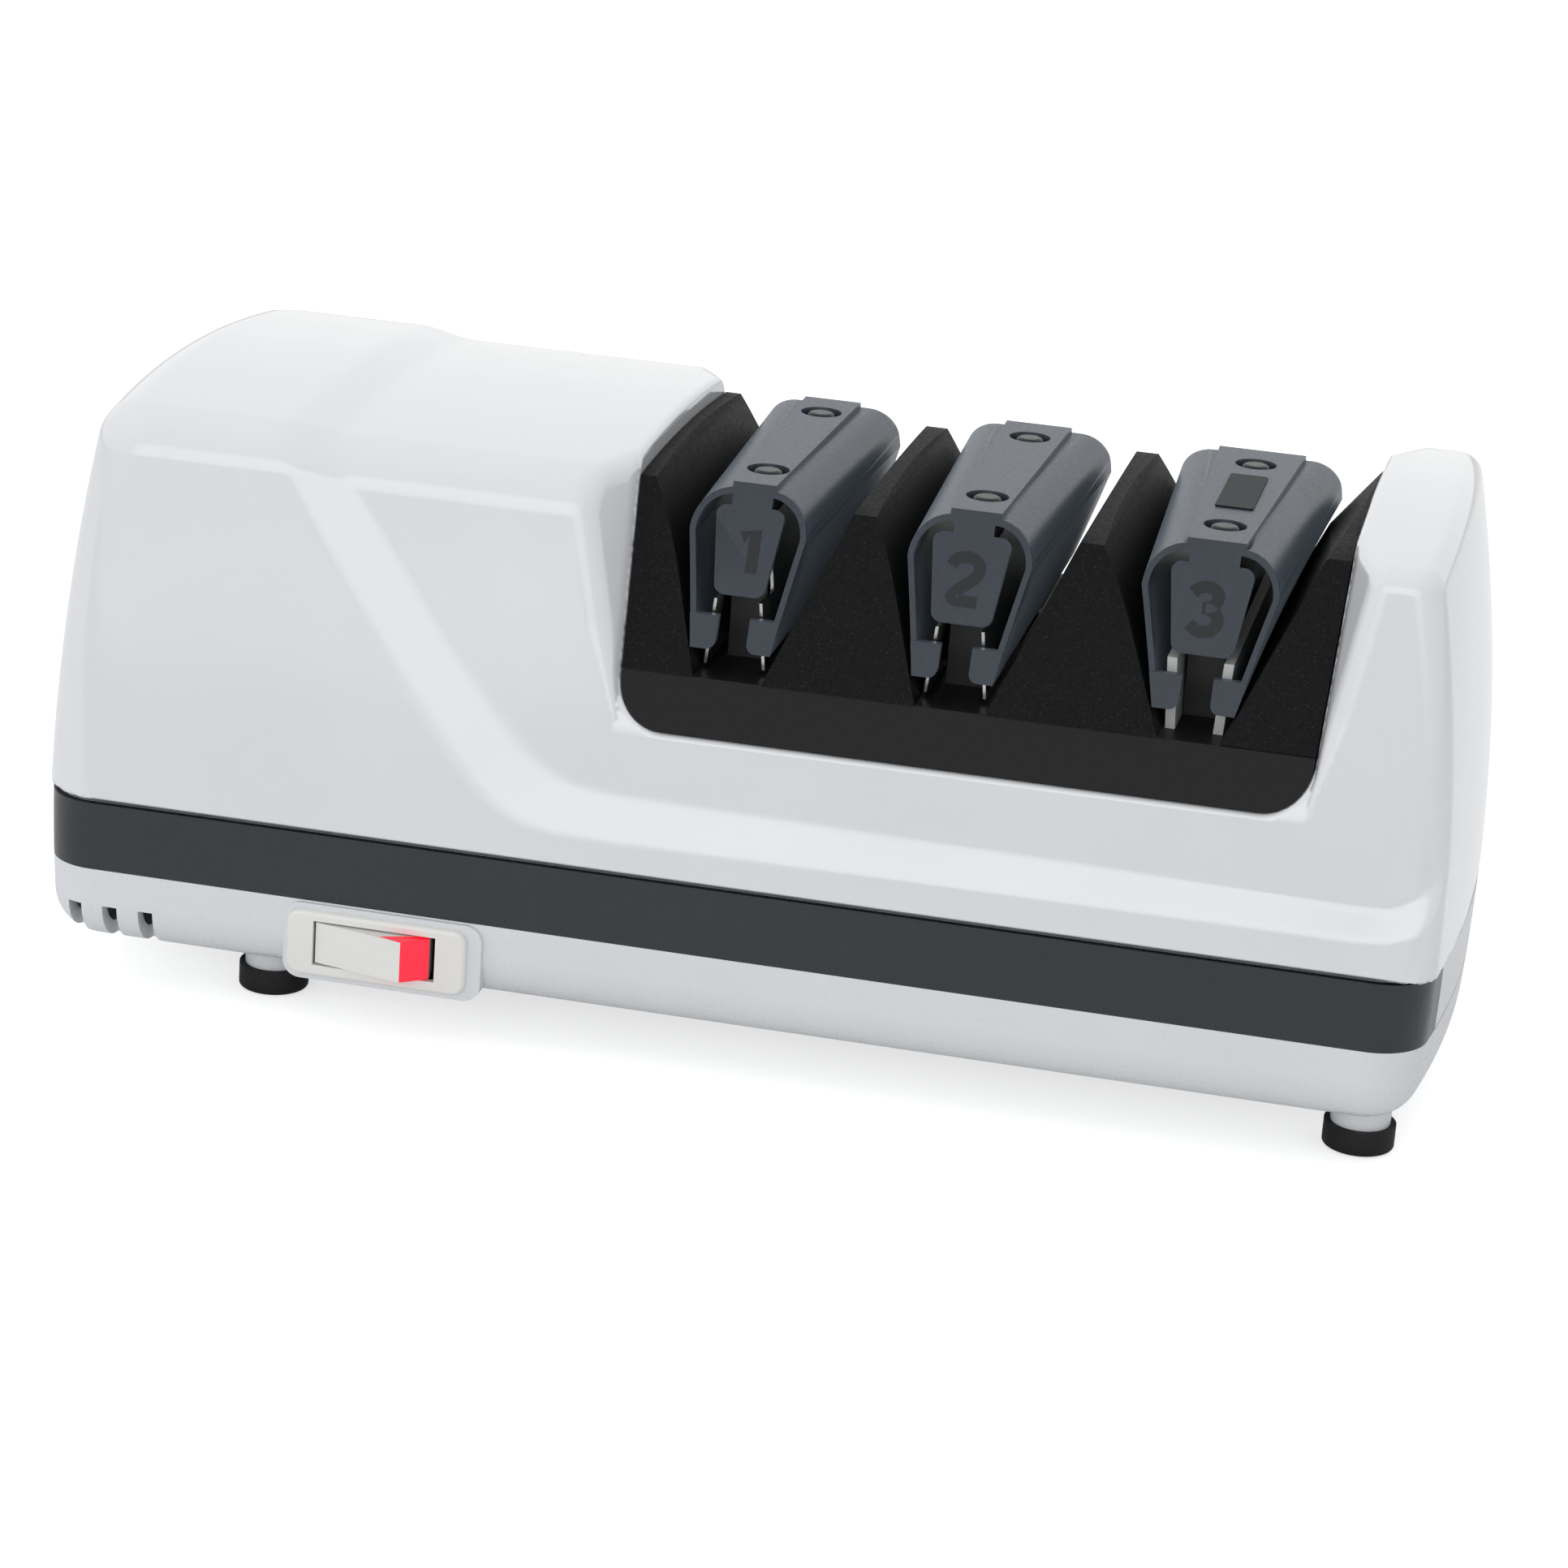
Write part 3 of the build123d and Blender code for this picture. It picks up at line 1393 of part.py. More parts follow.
# ---------------------------------------------------------------- dressing lever
with BuildPart() as dressing_lever:
    x = stage_x[2]
    high = (lever_low, lever_high)
    # block on the rail, crosspiece and the two fork arms beside the discs
    add(box_between((x - lever_half, x + lever_half), (lever_y - lever_block, lever_y + lever_block), high))
    add(box_between((x - fork_outer, x + fork_outer), (fork_from, lever_y - lever_block + 0.1), high))
    for side in (-1, 1):
        arm = sorted((x + side * fork_inner, x + side * fork_outer))
        add(box_between(arm, (pad_from, fork_from + 0.1), high))
    # stem through the back wall and its finger tab
    add(
        box_between(
            (x - lever_stem_half, x + lever_stem_half),
            (lever_y + lever_block - 0.1, lever_tab_from + 0.1),
            (lever_low + lever_stem_drop, lever_high - lever_stem_drop),
        )
    )
    add(
        box_between(
            (x - lever_tab_half, x + lever_tab_half),
            (lever_tab_from, lever_tab_y),
            (lever_low - 1, lever_high + 1),
        )
    )
    # groove for the rail
    add(
        box_between(
            (x - 2 * lever_half, x + 2 * lever_half),
            (lever_y - rail_half - lever_fit, lever_y + rail_half + lever_fit),
            (lever_low - 1, lever_low + rail_height + lever_fit),
        ),
        mode=Mode.SUBTRACT,
    )
finish(dressing_lever.part, "dressing_lever")

pads = []
for side in (-1, 1):
    pad = sorted((stage_x[2] + side * fork_inner, stage_x[2] + side * (fork_inner - pad_thick)))
    pad_z = (lever_low + pad_border, lever_high - pad_border)
    pads.append(box_between(pad, (pad_from + pad_border, disc_radius - pad_border), pad_z))
finish_group(pads, "dressing_pads")
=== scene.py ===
import json
from math import cos, radians, sin, sqrt, tan

import bpy
import numpy as np
from mathutils import Matrix, Vector


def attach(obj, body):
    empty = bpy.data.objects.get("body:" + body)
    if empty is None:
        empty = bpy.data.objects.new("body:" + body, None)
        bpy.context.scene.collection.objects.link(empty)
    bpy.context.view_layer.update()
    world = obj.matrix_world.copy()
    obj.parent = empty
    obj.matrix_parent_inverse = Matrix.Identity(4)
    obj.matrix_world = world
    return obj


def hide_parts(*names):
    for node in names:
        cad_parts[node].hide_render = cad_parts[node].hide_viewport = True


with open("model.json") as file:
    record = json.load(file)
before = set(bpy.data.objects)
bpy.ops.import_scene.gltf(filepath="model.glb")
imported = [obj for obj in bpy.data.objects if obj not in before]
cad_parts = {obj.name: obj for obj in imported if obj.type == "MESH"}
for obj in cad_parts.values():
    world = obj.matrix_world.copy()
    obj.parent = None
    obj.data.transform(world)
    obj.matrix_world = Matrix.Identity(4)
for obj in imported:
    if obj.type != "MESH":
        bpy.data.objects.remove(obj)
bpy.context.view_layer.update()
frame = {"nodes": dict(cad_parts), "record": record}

# Three-stage electric knife sharpener.  Blender works in metres; the shapes below are written in
# millimetres, in the frame of the CAD model, and scaled by MM when their meshes are made.
MM = 0.001
nodes = frame["nodes"]


# ---------------------------------------------------------------- camera
SENSOR = 36.0
LENS = 102.51
AZIMUTH = radians(11.277)
ELEVATION = radians(18.908)
ROLL = radians(4.051)
DISTANCE = 781.82 * MM
AIM = Vector((0, 0, 35.952 * MM))
NEAR_CLIP, FAR_CLIP = 0.05, 20


def make_camera():
    """Camera of the photograph: it looks at the object's middle, rolled a little about its own axis."""
    back = Vector((sin(AZIMUTH) * cos(ELEVATION), -cos(AZIMUTH) * cos(ELEVATION), sin(ELEVATION)))
    level = (-back).cross(Vector((0, 0, 1))).normalized()
    upright = level.cross(-back)
    right = level * cos(ROLL) + upright * sin(ROLL)
    up = -level * sin(ROLL) + upright * cos(ROLL)
    data = bpy.data.cameras.new("camera")
    data.sensor_width = SENSOR
    data.lens = LENS
    data.clip_start, data.clip_end = NEAR_CLIP, FAR_CLIP
    camera = bpy.data.objects.new("camera", data)
    place = AIM + back * DISTANCE
    camera.matrix_world = Matrix((
        (right.x, up.x, back.x, place.x),
        (right.y, up.y, back.y, place.y),
        (right.z, up.z, back.z, place.z),
        (0, 0, 0, 1),
    ))
    bpy.context.scene.collection.objects.link(camera)
    bpy.context.scene.camera = camera


make_camera()
bpy.context.scene.view_settings.view_transform = "Standard"


# ---------------------------------------------------------------- light and stage
SKY_TINT = (0.97, 0.985, 1.0, 1)
PAPER = 0.82                # shade of the floor
FLOOR_LIFT = 0.62           # added to the floor for the lens, so that it is white
FLOOR_GLOSS_LIFT = 0.15     # added for the object's gloss, which would clip with more
OBJECT_MIDDLE = (0, 0, 0.05)


def show_to_lens(tree):
    """1 for the rays that see a surface directly or in a mirror or through glass, 0 for the rest."""
    path = tree.nodes.new("ShaderNodeLightPath")
    seen = tree.nodes.new("ShaderNodeMath")
    seen.operation = "MAXIMUM"
    tree.links.new(path.outputs["Is Camera Ray"], seen.inputs[0])
    tree.links.new(path.outputs["Is Glossy Ray"], seen.inputs[1])
    both = tree.nodes.new("ShaderNodeMath")
    both.operation = "MAXIMUM"
    tree.links.new(seen.outputs[0], both.inputs[0])
    tree.links.new(path.outputs["Is Transmission Ray"], both.inputs[1])
    return both.outputs[0]


def make_world(lit, shown):
    """Even pale surroundings: lit is their light on the object, shown is how the lens sees them."""
    world = bpy.data.worlds.new("surroundings")
    world.use_nodes = True
    tree = world.node_tree
    tree.nodes.clear()
    out = tree.nodes.new("ShaderNodeOutputWorld")
    mix = tree.nodes.new("ShaderNodeMixShader")
    plain = tree.nodes.new("ShaderNodeBackground")
    plain.inputs["Color"].default_value = SKY_TINT
    plain.inputs["Strength"].default_value = lit
    white = tree.nodes.new("ShaderNodeBackground")
    white.inputs["Color"].default_value = (1, 1, 1, 1)
    white.inputs["Strength"].default_value = shown
    tree.links.new(show_to_lens(tree), mix.inputs["Fac"])
    tree.links.new(plain.outputs[0], mix.inputs[1])
    tree.links.new(white.outputs[0], mix.inputs[2])
    tree.links.new(mix.outputs[0], out.inputs["Surface"])
    bpy.context.scene.world = world


def make_floor(z, half):
    """Pale floor under the feet; the lens sees it lifted to white, and it keeps the object's shadow."""
    mesh = bpy.data.meshes.new("floor")
    corners = [(-half, -half, z), (half, -half, z), (half, half, z), (-half, half, z)]
    mesh.from_pydata(corners, [], [(0, 1, 2, 3)])
    floor = bpy.data.objects.new("floor", mesh)
    bpy.context.scene.collection.objects.link(floor)
    material = bpy.data.materials.new("floor_paper")
    material.use_nodes = True
    tree = material.node_tree
    tree.nodes.clear()
    out = tree.nodes.new("ShaderNodeOutputMaterial")
    paper = tree.nodes.new("ShaderNodeBsdfDiffuse")
    paper.inputs["Color"].default_value = (PAPER, PAPER, PAPER, 1)
    lift = tree.nodes.new("ShaderNodeEmission")
    lift.inputs["Color"].default_value = (1, 1, 1, 1)
    path = tree.nodes.new("ShaderNodeLightPath")
    gloss = tree.nodes.new("ShaderNodeMath")
    gloss.operation = "MULTIPLY"
    gloss.inputs[1].default_value = FLOOR_GLOSS_LIFT
    tree.links.new(show_to_lens(tree), gloss.inputs[0])
    strength = tree.nodes.new("ShaderNodeMath")
    strength.operation = "MULTIPLY_ADD"
    strength.inputs[1].default_value = FLOOR_LIFT - FLOOR_GLOSS_LIFT
    tree.links.new(path.outputs["Is Camera Ray"], strength.inputs[0])
    tree.links.new(gloss.outputs[0], strength.inputs[2])
    tree.links.new(strength.outputs[0], lift.inputs["Strength"])
    both = tree.nodes.new("ShaderNodeAddShader")
    tree.links.new(paper.outputs[0], both.inputs[0])
    tree.links.new(lift.outputs[0], both.inputs[1])
    tree.links.new(both.outputs[0], out.inputs["Surface"])
    mesh.materials.append(material)


def gloss_only(name, corners):
    """Sheet that only shows in the gloss of the object, and the node tree of its material."""
    mesh = bpy.data.meshes.new(name)
    mesh.from_pydata(corners, [], [(0, 1, 2, 3)])
    sheet = bpy.data.objects.new(name, mesh)
    bpy.context.scene.collection.objects.link(sheet)
    sheet.visible_camera = sheet.visible_diffuse = sheet.visible_shadow = False
    sheet.visible_transmission = False
    material = bpy.data.materials.new(name)
    material.use_nodes = True
    material.node_tree.nodes.clear()
    mesh.materials.append(material)
    return material.node_tree


def make_card(name, corners, shade):
    """Matt darker card whose reflection models the form of the front."""
    tree = gloss_only(name, corners)
    out = tree.nodes.new("ShaderNodeOutputMaterial")
    matt = tree.nodes.new("ShaderNodeBsdfDiffuse")
    matt.inputs["Color"].default_value = (shade, shade, shade, 1)
    tree.links.new(matt.outputs[0], out.inputs["Surface"])


def make_glow(name, low, high, y, strength, soft):
    """Soft box seen in the gloss, facing the object; it fades out over a share, soft, of its size."""
    (x0, z0), (x1, z1) = low, high
    tree = gloss_only(name, [(x0, y, z0), (x1, y, z0), (x1, y, z1), (x0, y, z1)])
    out = tree.nodes.new("ShaderNodeOutputMaterial")
    light = tree.nodes.new("ShaderNodeEmission")
    place = tree.nodes.new("ShaderNodeTexCoord")
    split = tree.nodes.new("ShaderNodeSeparateXYZ")
    tree.links.new(place.outputs["Generated"], split.inputs[0])
    level = None
    for axis in ("X", "Z"):
        away = tree.nodes.new("ShaderNodeMath")
        away.operation = "SUBTRACT"
        away.inputs[1].default_value = 0.5
        tree.links.new(split.outputs[axis], away.inputs[0])
        size = tree.nodes.new("ShaderNodeMath")
        size.operation = "ABSOLUTE"
        tree.links.new(away.outputs[0], size.inputs[0])
        fade = tree.nodes.new("ShaderNodeMapRange")
        fade.interpolation_type = "SMOOTHSTEP"
        fade.inputs["From Min"].default_value = 0.5
        fade.inputs["From Max"].default_value = 0.5 - soft
        tree.links.new(size.outputs[0], fade.inputs["Value"])
        both = tree.nodes.new("ShaderNodeMath")
        both.operation = "MULTIPLY"
        both.inputs[1].default_value = strength
        tree.links.new(fade.outputs[0], both.inputs[0])
        if level is not None:
            tree.links.new(level, both.inputs[1])
        level = both.outputs[0]
    tree.links.new(level, light.inputs["Strength"])
    clear = tree.nodes.new("ShaderNodeBsdfTransparent")
    add = tree.nodes.new("ShaderNodeAddShader")
    tree.links.new(light.outputs[0], add.inputs[0])
    tree.links.new(clear.outputs[0], add.inputs[1])
    tree.links.new(add.outputs[0], out.inputs["Surface"])


def make_lamp(name, place, aim, size, power):
    """Soft box: a rectangular area lamp, in metres and watts; the gloss shows the stage instead."""
    data = bpy.data.lights.new(name, "AREA")
    data.shape = "RECTANGLE"
    data.size, data.size_y = size
    data.energy = power
    lamp = bpy.data.objects.new(name, data)
    lamp.location = place
    lamp.rotation_euler = (Vector(aim) - Vector(place)).to_track_quat("-Z", "Y").to_euler()
    lamp.visible_glossy = False
    bpy.context.scene.collection.objects.link(lamp)


def on_floor(x0, x1, y0, y1):
    """Corners of a rectangle just over the floor."""
    return [(x0, y0, MM), (x1, y0, MM), (x1, y1, MM), (x0, y1, MM)]


make_world(lit=0.56, shown=1.0)
make_floor(z=-0.0002, half=6.0)
make_lamp("lamp_top", (0.0, 0.20, 1.10), OBJECT_MIDDLE, (1.5, 1.1), 4.2)
make_lamp("lamp_front", (-0.10, -1.60, 0.52), OBJECT_MIDDLE, (0.9, 0.80), 6.0)
make_lamp("lamp_left", (-1.20, -0.50, 0.60), OBJECT_MIDDLE, (0.8, 0.8), 1.8)
make_glow("glow_front", low=(-1.3, 0.02), high=(1.1, 1.15), y=-1.60, strength=0.85, soft=0.2)
make_card("table_front", on_floor(-1.6, -0.20, -0.75, -0.30), shade=0.35)
make_card("table_right", on_floor(-0.20, 0.6, -3.0, -0.30), shade=0.35)


# ---------------------------------------------------------------- materials
class Paint:
    """Node tree of one material, with short names for the nodes the finishes share."""

    def __init__(self, name):
        self.material = bpy.data.materials.new(name)
        self.material.use_nodes = True
        self.tree = self.material.node_tree
        self.shader = self.tree.nodes["Principled BSDF"]
        coordinates = self.tree.nodes.new("ShaderNodeTexCoord")
        self.place = coordinates.outputs["Object"]

    def node(self, kind, **values):
        made = self.tree.nodes.new("ShaderNode" + kind)
        for key, value in values.items():
            setattr(made, key, value)
        return made

    def link(self, source, target):
        self.tree.links.new(source, target)

    def stretched(self, scale):
        """Coordinates scaled along each axis, for brushed and drawn surfaces."""
        mapping = self.node("Mapping")
        mapping.inputs["Scale"].default_value = scale
        self.link(self.place, mapping.inputs["Vector"])
        return mapping.outputs[0]

    def noise(self, size, detail=3.0, rough=0.55, vector=None):
        """Noise with features of a size in millimetres."""
        made = self.node("TexNoise")
        made.inputs["Scale"].default_value = 1 / (size * MM)
        made.inputs["Detail"].default_value = detail
        made.inputs["Roughness"].default_value = rough
        self.link(vector or self.place, made.inputs["Vector"])
        return made.outputs["Fac"]

    def cells(self, size, feature="F1", vector=None):
        """Cell pattern with cells of a size in millimetres."""
        made = self.node("TexVoronoi", feature=feature)
        made.inputs["Scale"].default_value = 1 / (size * MM)
        self.link(vector or self.place, made.inputs["Vector"])
        return made.outputs["Distance"]

    def spread(self, source, low, high, from_low=0.3, from_high=0.7):
        """A pattern's range mapped to a range of values."""
        made = self.node("MapRange")
        made.inputs["From Min"].default_value = from_low
        made.inputs["From Max"].default_value = from_high
        made.inputs["To Min"].default_value = low
        made.inputs["To Max"].default_value = high
        self.link(source, made.inputs["Value"])
        return made.outputs[0]

    def blend(self, share, first, second):
        """Colour between two colours or sockets."""
        made = self.node("Mix", data_type="RGBA")
        self.link(share, made.inputs["Factor"])
        sockets = [s for s in made.inputs if s.type == "RGBA"]
        for socket, value in zip(sockets, (first, second)):
            if isinstance(value, tuple):
                socket.default_value = (*value, 1)
            else:
                self.link(value, socket)
        return [s for s in made.outputs if s.type == "RGBA"][0]

    def bump(self, height, depth, below=None):
        """Normal of a height pattern whose full range is a depth in millimetres."""
        made = self.node("Bump")
        made.inputs["Strength"].default_value = 1.0
        made.inputs["Distance"].default_value = depth * MM
        self.link(height, made.inputs["Height"])
        if below is not None:
            self.link(below, made.inputs["Normal"])
        return made.outputs[0]

    def set(self, **values):
        """Numbers and sockets for the shader, by its input names with spaces as underscores."""
        for key, value in values.items():
            socket = self.shader.inputs[key.replace("_", " ")]
            if isinstance(value, bpy.types.NodeSocket):
                self.link(value, socket)
            elif isinstance(value, tuple):
                socket.default_value = (*value, 1)
            else:
                socket.default_value = value


def scaled(colour, factor):
    return tuple(min(1.0, c * factor) for c in colour)


def plastic(name, colour, roughness, grain=0.5, depth=0.004, mottle=0.03, patch=14.0, wave=0.0, **finish):
    """Moulded plastic: fine grain, faint patches of colour and gloss, and flow waves if wave is given."""
    paint = Paint(name)
    patches = paint.noise(patch, 2.0)
    tint = paint.blend(paint.spread(patches, 0, 1), scaled(colour, 1 - mottle), scaled(colour, 1 + mottle))
    fine = paint.noise(grain, 2.0)
    gloss = paint.spread(fine, roughness * 0.85, roughness * 1.15)
    normal = paint.bump(fine, depth)
    if wave:
        normal = paint.bump(paint.noise(7.0, 1.0), wave, normal)
    paint.set(Base_Color=tint, Roughness=gloss, Normal=normal, **finish)
    return paint.material


def textured(name, colour, roughness, grain=0.35, depth=0.03, glint_share=0.12, glint_colour=None, **finish):
    """Spark-eroded plastic: a dense grain, with pale flecks on its tops painted in as highlights where the
    grain catches the light.
    """
    paint = Paint(name)
    coarse = paint.noise(grain, 4.0, 0.65)
    fine = paint.noise(grain * 0.4, 2.0)
    # pale flecks on the grain's tops, blended into the colour: painted highlights
    glint_tops = paint.spread(fine, 0, glint_share, 0.58, 0.78)
    wide = paint.noise(9.0, 2.0)
    tint = paint.blend(paint.spread(wide, 0, 1), scaled(colour, 0.92), scaled(colour, 1.08))
    tint = paint.blend(glint_tops, tint, glint_colour or scaled(colour, 5.0))
    normal = paint.bump(coarse, depth, paint.bump(fine, depth * 0.4))
    paint.set(Base_Color=tint, Roughness=paint.spread(coarse, roughness * 0.85, roughness * 1.15),
              Normal=normal, **finish)
    return paint.material


def leather(name, colour, roughness, **finish):
    """Black plastic with a fine moulded leather grain: irregular pebbles with creases between them, the
    pebble tops painted lighter and the creases darker as painted highlight and shade.
    """
    paint = Paint(name)
    bend = paint.noise(1.2, 2.0)
    pebbles = paint.cells(0.45, "SMOOTH_F1")
    fine = paint.noise(0.2, 3.0)
    high = paint.node("Math", operation="ADD")
    paint.link(paint.spread(pebbles, 1.0, 0.0, 0.1, 0.7), high.inputs[0])
    paint.link(paint.spread(bend, 0, 0.5), high.inputs[1])
    # pebble tops painted lighter and creases darker: painted highlight and shade
    tint = paint.blend(paint.spread(pebbles, 0, 1, 0.2, 0.7), scaled(colour, 1.15), scaled(colour, 0.85))
    normal = paint.bump(high.outputs[0], 0.018, paint.bump(fine, 0.006))
    paint.set(Base_Color=tint, Roughness=paint.spread(fine, roughness * 0.85, roughness * 1.15),
              Normal=normal, **finish)
    return paint.material


def metal(name, colour, roughness, lines=(1, 1, 1), size=0.25, depth=0.004, tarnish=0.12):
    """Bare metal with drawn or turned lines along the axis whose scale is small, and a faint tarnish."""
    paint = Paint(name)
    drawn = paint.noise(size, 3.0, 0.6, paint.stretched(lines))
    wide = paint.noise(6.0, 3.0)
    tint = paint.blend(paint.spread(wide, 0, 1), colour, scaled(colour, 1 - tarnish))
    gloss = paint.spread(drawn, roughness * 0.75, roughness * 1.25)
    paint.set(Base_Color=tint, Metallic=1.0, Roughness=gloss, Normal=paint.bump(drawn, depth))
    return paint.material


def grit(name, colour, sparkle, size, depth, roughness=0.7):
    """Abrasive coat: packed grains, some of them bright."""
    paint = Paint(name)
    grains = paint.cells(size)
    seeds = paint.noise(size * 0.8, 2.0)
    tint = paint.blend(paint.spread(seeds, 0, 1, 0.55, 0.72), colour, sparkle)
    normal = paint.bump(paint.spread(grains, 1, 0, 0.0, 0.8), depth)
    paint.set(Base_Color=tint, Roughness=roughness, Normal=normal)
    return paint.material


WHITE = (0.775, 0.785, 0.805)
finishes = {
    "housing_white": plastic("gloss_white_plastic", WHITE, 0.16, 0.6, 0.0015, 0.012, 30.0, 0.004,
                             Coat_Weight=1.0, Coat_Roughness=0.08),
    "base_white": plastic("white_plastic", (0.74, 0.755, 0.775), 0.30, 0.5, 0.0012, 0.012, 25.0),
    "band_grey": plastic("band_film", (0.016, 0.020, 0.024), 0.30, 0.25, 0.003, 0.06, 8.0),
    "switch_white": plastic("warm_white_plastic", (0.83, 0.825, 0.80), 0.32, 0.4, 0.003, 0.015, 9.0),
    # the red flag glows faintly by its emission: a painted glow, as the flag is no lamp
    "flag_red": plastic("red_plastic_painted_glow", (1.0, 0.030, 0.066), 0.35, 0.35, 0.003, 0.04, 4.0,
                        Emission_Color=(1.0, 0.0, 0.02), Emission_Strength=0.30),
    "switch_black": plastic("black_switch_plastic", (0.012, 0.012, 0.013), 0.4, 0.4, 0.004, 0.1),
    "terminal_brass": metal("brass", (0.80, 0.58, 0.28), 0.3, (1, 1, 6)),
    "insert_black": textured("black_textured_plastic", (0.0034, 0.0036, 0.0041), 0.58, 0.85, 0.05, 0.55,
                             (0.045, 0.045, 0.047), Specular_IOR_Level=0.12),
    "guide_slate": textured("slate_textured_plastic", (0.009, 0.016, 0.027), 0.36, 0.7, 0.020, 0.3,
                            (0.07, 0.09, 0.12), Specular_IOR_Level=0.5,
                            Sheen_Weight=0.22, Sheen_Roughness=0.4, Sheen_Tint=(0.72, 0.86, 1.0)),
    "bridge_black": plastic("black_bridge_plastic", (0.010, 0.010, 0.011), 0.45, 0.5, 0.01, 0.1),
    "screw_dark": plastic("black_oxide_steel", (0.010, 0.011, 0.013), 0.24, 0.2, 0.003, 0.08, 3.0,
                          Specular_IOR_Level=0.25),
    "label_dark": plastic("label_film", (0.010, 0.012, 0.014), 0.45, 0.2, 0.002, 0.08, 5.0,
                          Specular_IOR_Level=0.10),
    "leaf_steel": metal("spring_steel", (0.72, 0.72, 0.70), 0.22, (8, 1, 1)),
    "guard_grey": plastic("light_grey_plastic", (0.52, 0.53, 0.53), 0.42, 0.4, 0.006, 0.04),
    "foot_rubber": textured("black_rubber", (0.005, 0.005, 0.0055), 0.62, 0.5, 0.02, 0.15,
                            Specular_IOR_Level=0.3),
    "lamination_steel": metal("lamination_steel", (0.40, 0.41, 0.43), 0.42, (20, 1, 1), 0.5, 0.03),
    "bobbin_nylon": plastic("natural_nylon", (0.60, 0.57, 0.48), 0.42, 0.5, 0.006, 0.04),
    "winding_copper": metal("enamelled_copper", (0.74, 0.30, 0.14), 0.3, (6, 1, 1), 0.4, 0.05),
    "bracket_aluminium": metal("die_cast_aluminium", (0.66, 0.67, 0.68), 0.45, (1, 1, 1), 0.6, 0.02),
    "zinc_steel": metal("zinc_plated_steel", (0.70, 0.72, 0.76), 0.28),
    "rotor_steel": metal("rotor_steel", (0.48, 0.48, 0.48), 0.35, (12, 1, 1), 0.4, 0.02),
    "shaft_steel": metal("ground_steel", (0.74, 0.74, 0.75), 0.18, (8, 1, 1)),
    "fan_nylon": plastic("green_grey_nylon", (0.30, 0.33, 0.32), 0.45, 0.5, 0.008, 0.05),
    "bearing_bronze": metal("sintered_bronze", (0.62, 0.42, 0.22), 0.45, (1, 1, 1), 0.3, 0.02),
    "block_plastic": plastic("grey_block_plastic", (0.22, 0.23, 0.24), 0.45, 0.5, 0.01, 0.05),
    "disc_coarse": grit("coarse_diamond", (0.30, 0.29, 0.27), (0.85, 0.85, 0.85), 0.18, 0.05),
    "disc_fine": grit("fine_diamond", (0.36, 0.36, 0.36), (0.80, 0.80, 0.82), 0.12, 0.03),
    "disc_strop": grit("polishing_compound", (0.34, 0.16, 0.10), (0.50, 0.28, 0.20), 0.2, 0.03),
    "spring_wire": metal("spring_wire", (0.62, 0.62, 0.63), 0.28),
    "lever_plastic": plastic("black_lever_plastic", (0.012, 0.012, 0.013), 0.4, 0.5, 0.01, 0.1),
    "dresser_grit": grit("dressing_stone", (0.55, 0.52, 0.47), (0.8, 0.8, 0.78), 0.25, 0.05),
    "magnet_ferrite": plastic("ferrite", (0.05, 0.05, 0.052), 0.6, 0.3, 0.02, 0.12),
    "inlet_rubber": textured("inlet_rubber", (0.010, 0.010, 0.011), 0.55, 0.5, 0.02, 0.15),
}
deck_leather = leather("black_leather_grain", (0.0044, 0.0046, 0.0050), 0.46, Specular_IOR_Level=0.22)

for row in frame["record"]["subparts"]:
    leathery = row["node"] == "insert_deck"
    coat = deck_leather if leathery else finishes[row["material_slot"]]
    nodes[row["node"]].data.materials.clear()
    nodes[row["node"]].data.materials.append(coat)


# ---------------------------------------------------------------- meshes from distance fields
def rounded(a, b, radius):
    """Meeting of two solids given as distance fields, with the edge between them rounded."""
    u = np.maximum(radius + a, 0)
    v = np.maximum(radius + b, 0)
    return np.minimum(-radius, np.maximum(a, b)) + np.sqrt(u * u + v * v)


EDGES = [
    (corner, tuple(c + (axis == n) for n, c in enumerate(corner)))
    for axis in range(3)
    for corner in np.ndindex(2, 2, 2)
    if corner[axis] == 0
]


def surface_net(field, low, cell):
    """Vertices and quads where a sampled field changes sign, with one vertex in each mixed cell."""
    inside = field < 0
    size = [n - 1 for n in field.shape]
    count = sum(
        inside[i:i + size[0], j:j + size[1], k:k + size[2]].astype(np.int8)
        for i, j, k in np.ndindex(2, 2, 2)
    )
    mixed = (count > 0) & (count < 8)
    cells = np.argwhere(mixed)
    total = np.zeros((len(cells), 3))
    hits = np.zeros(len(cells))
    for start, end in EDGES:
        a = field[tuple((cells + start).T)]
        b = field[tuple((cells + end).T)]
        cross = (a < 0) != (b < 0)
        share = np.where(cross, a / np.where(cross, a - b, 1), 0)[:, None]
        point = np.array(start) + share * (np.array(end) - np.array(start))
        total += np.where(cross[:, None], point, 0)
        hits += cross
    vertices = low + cell * (cells + total / hits[:, None])
    index = np.full(mixed.shape, -1)
    index[mixed] = np.arange(len(cells))
    quads = []
    for axis in range(3):
        first, second = [n for n in range(3) if n != axis]
        here = [slice(1, -1)] * 3
        here[axis] = slice(0, -1)
        ahead = list(here)
        ahead[axis] = slice(1, None)
        a, b = inside[tuple(here)], inside[tuple(ahead)]
        places = np.argwhere(a != b)
        outward = a[a != b]
        offset = np.array([int(n != axis) for n in range(3)])
        places = places + offset
        ring = []
        for s, t in ((-1, -1), (0, -1), (0, 0), (-1, 0)):
            step = np.zeros(3, int)
            step[first], step[second] = s, t
            ring.append(index[tuple((places + step).T)])
        ring = np.stack(ring, 1)
        flip = outward == (axis == 1)
        ring[flip] = ring[flip][:, ::-1]
        quads.append(ring)
    return vertices, np.concatenate(quads)


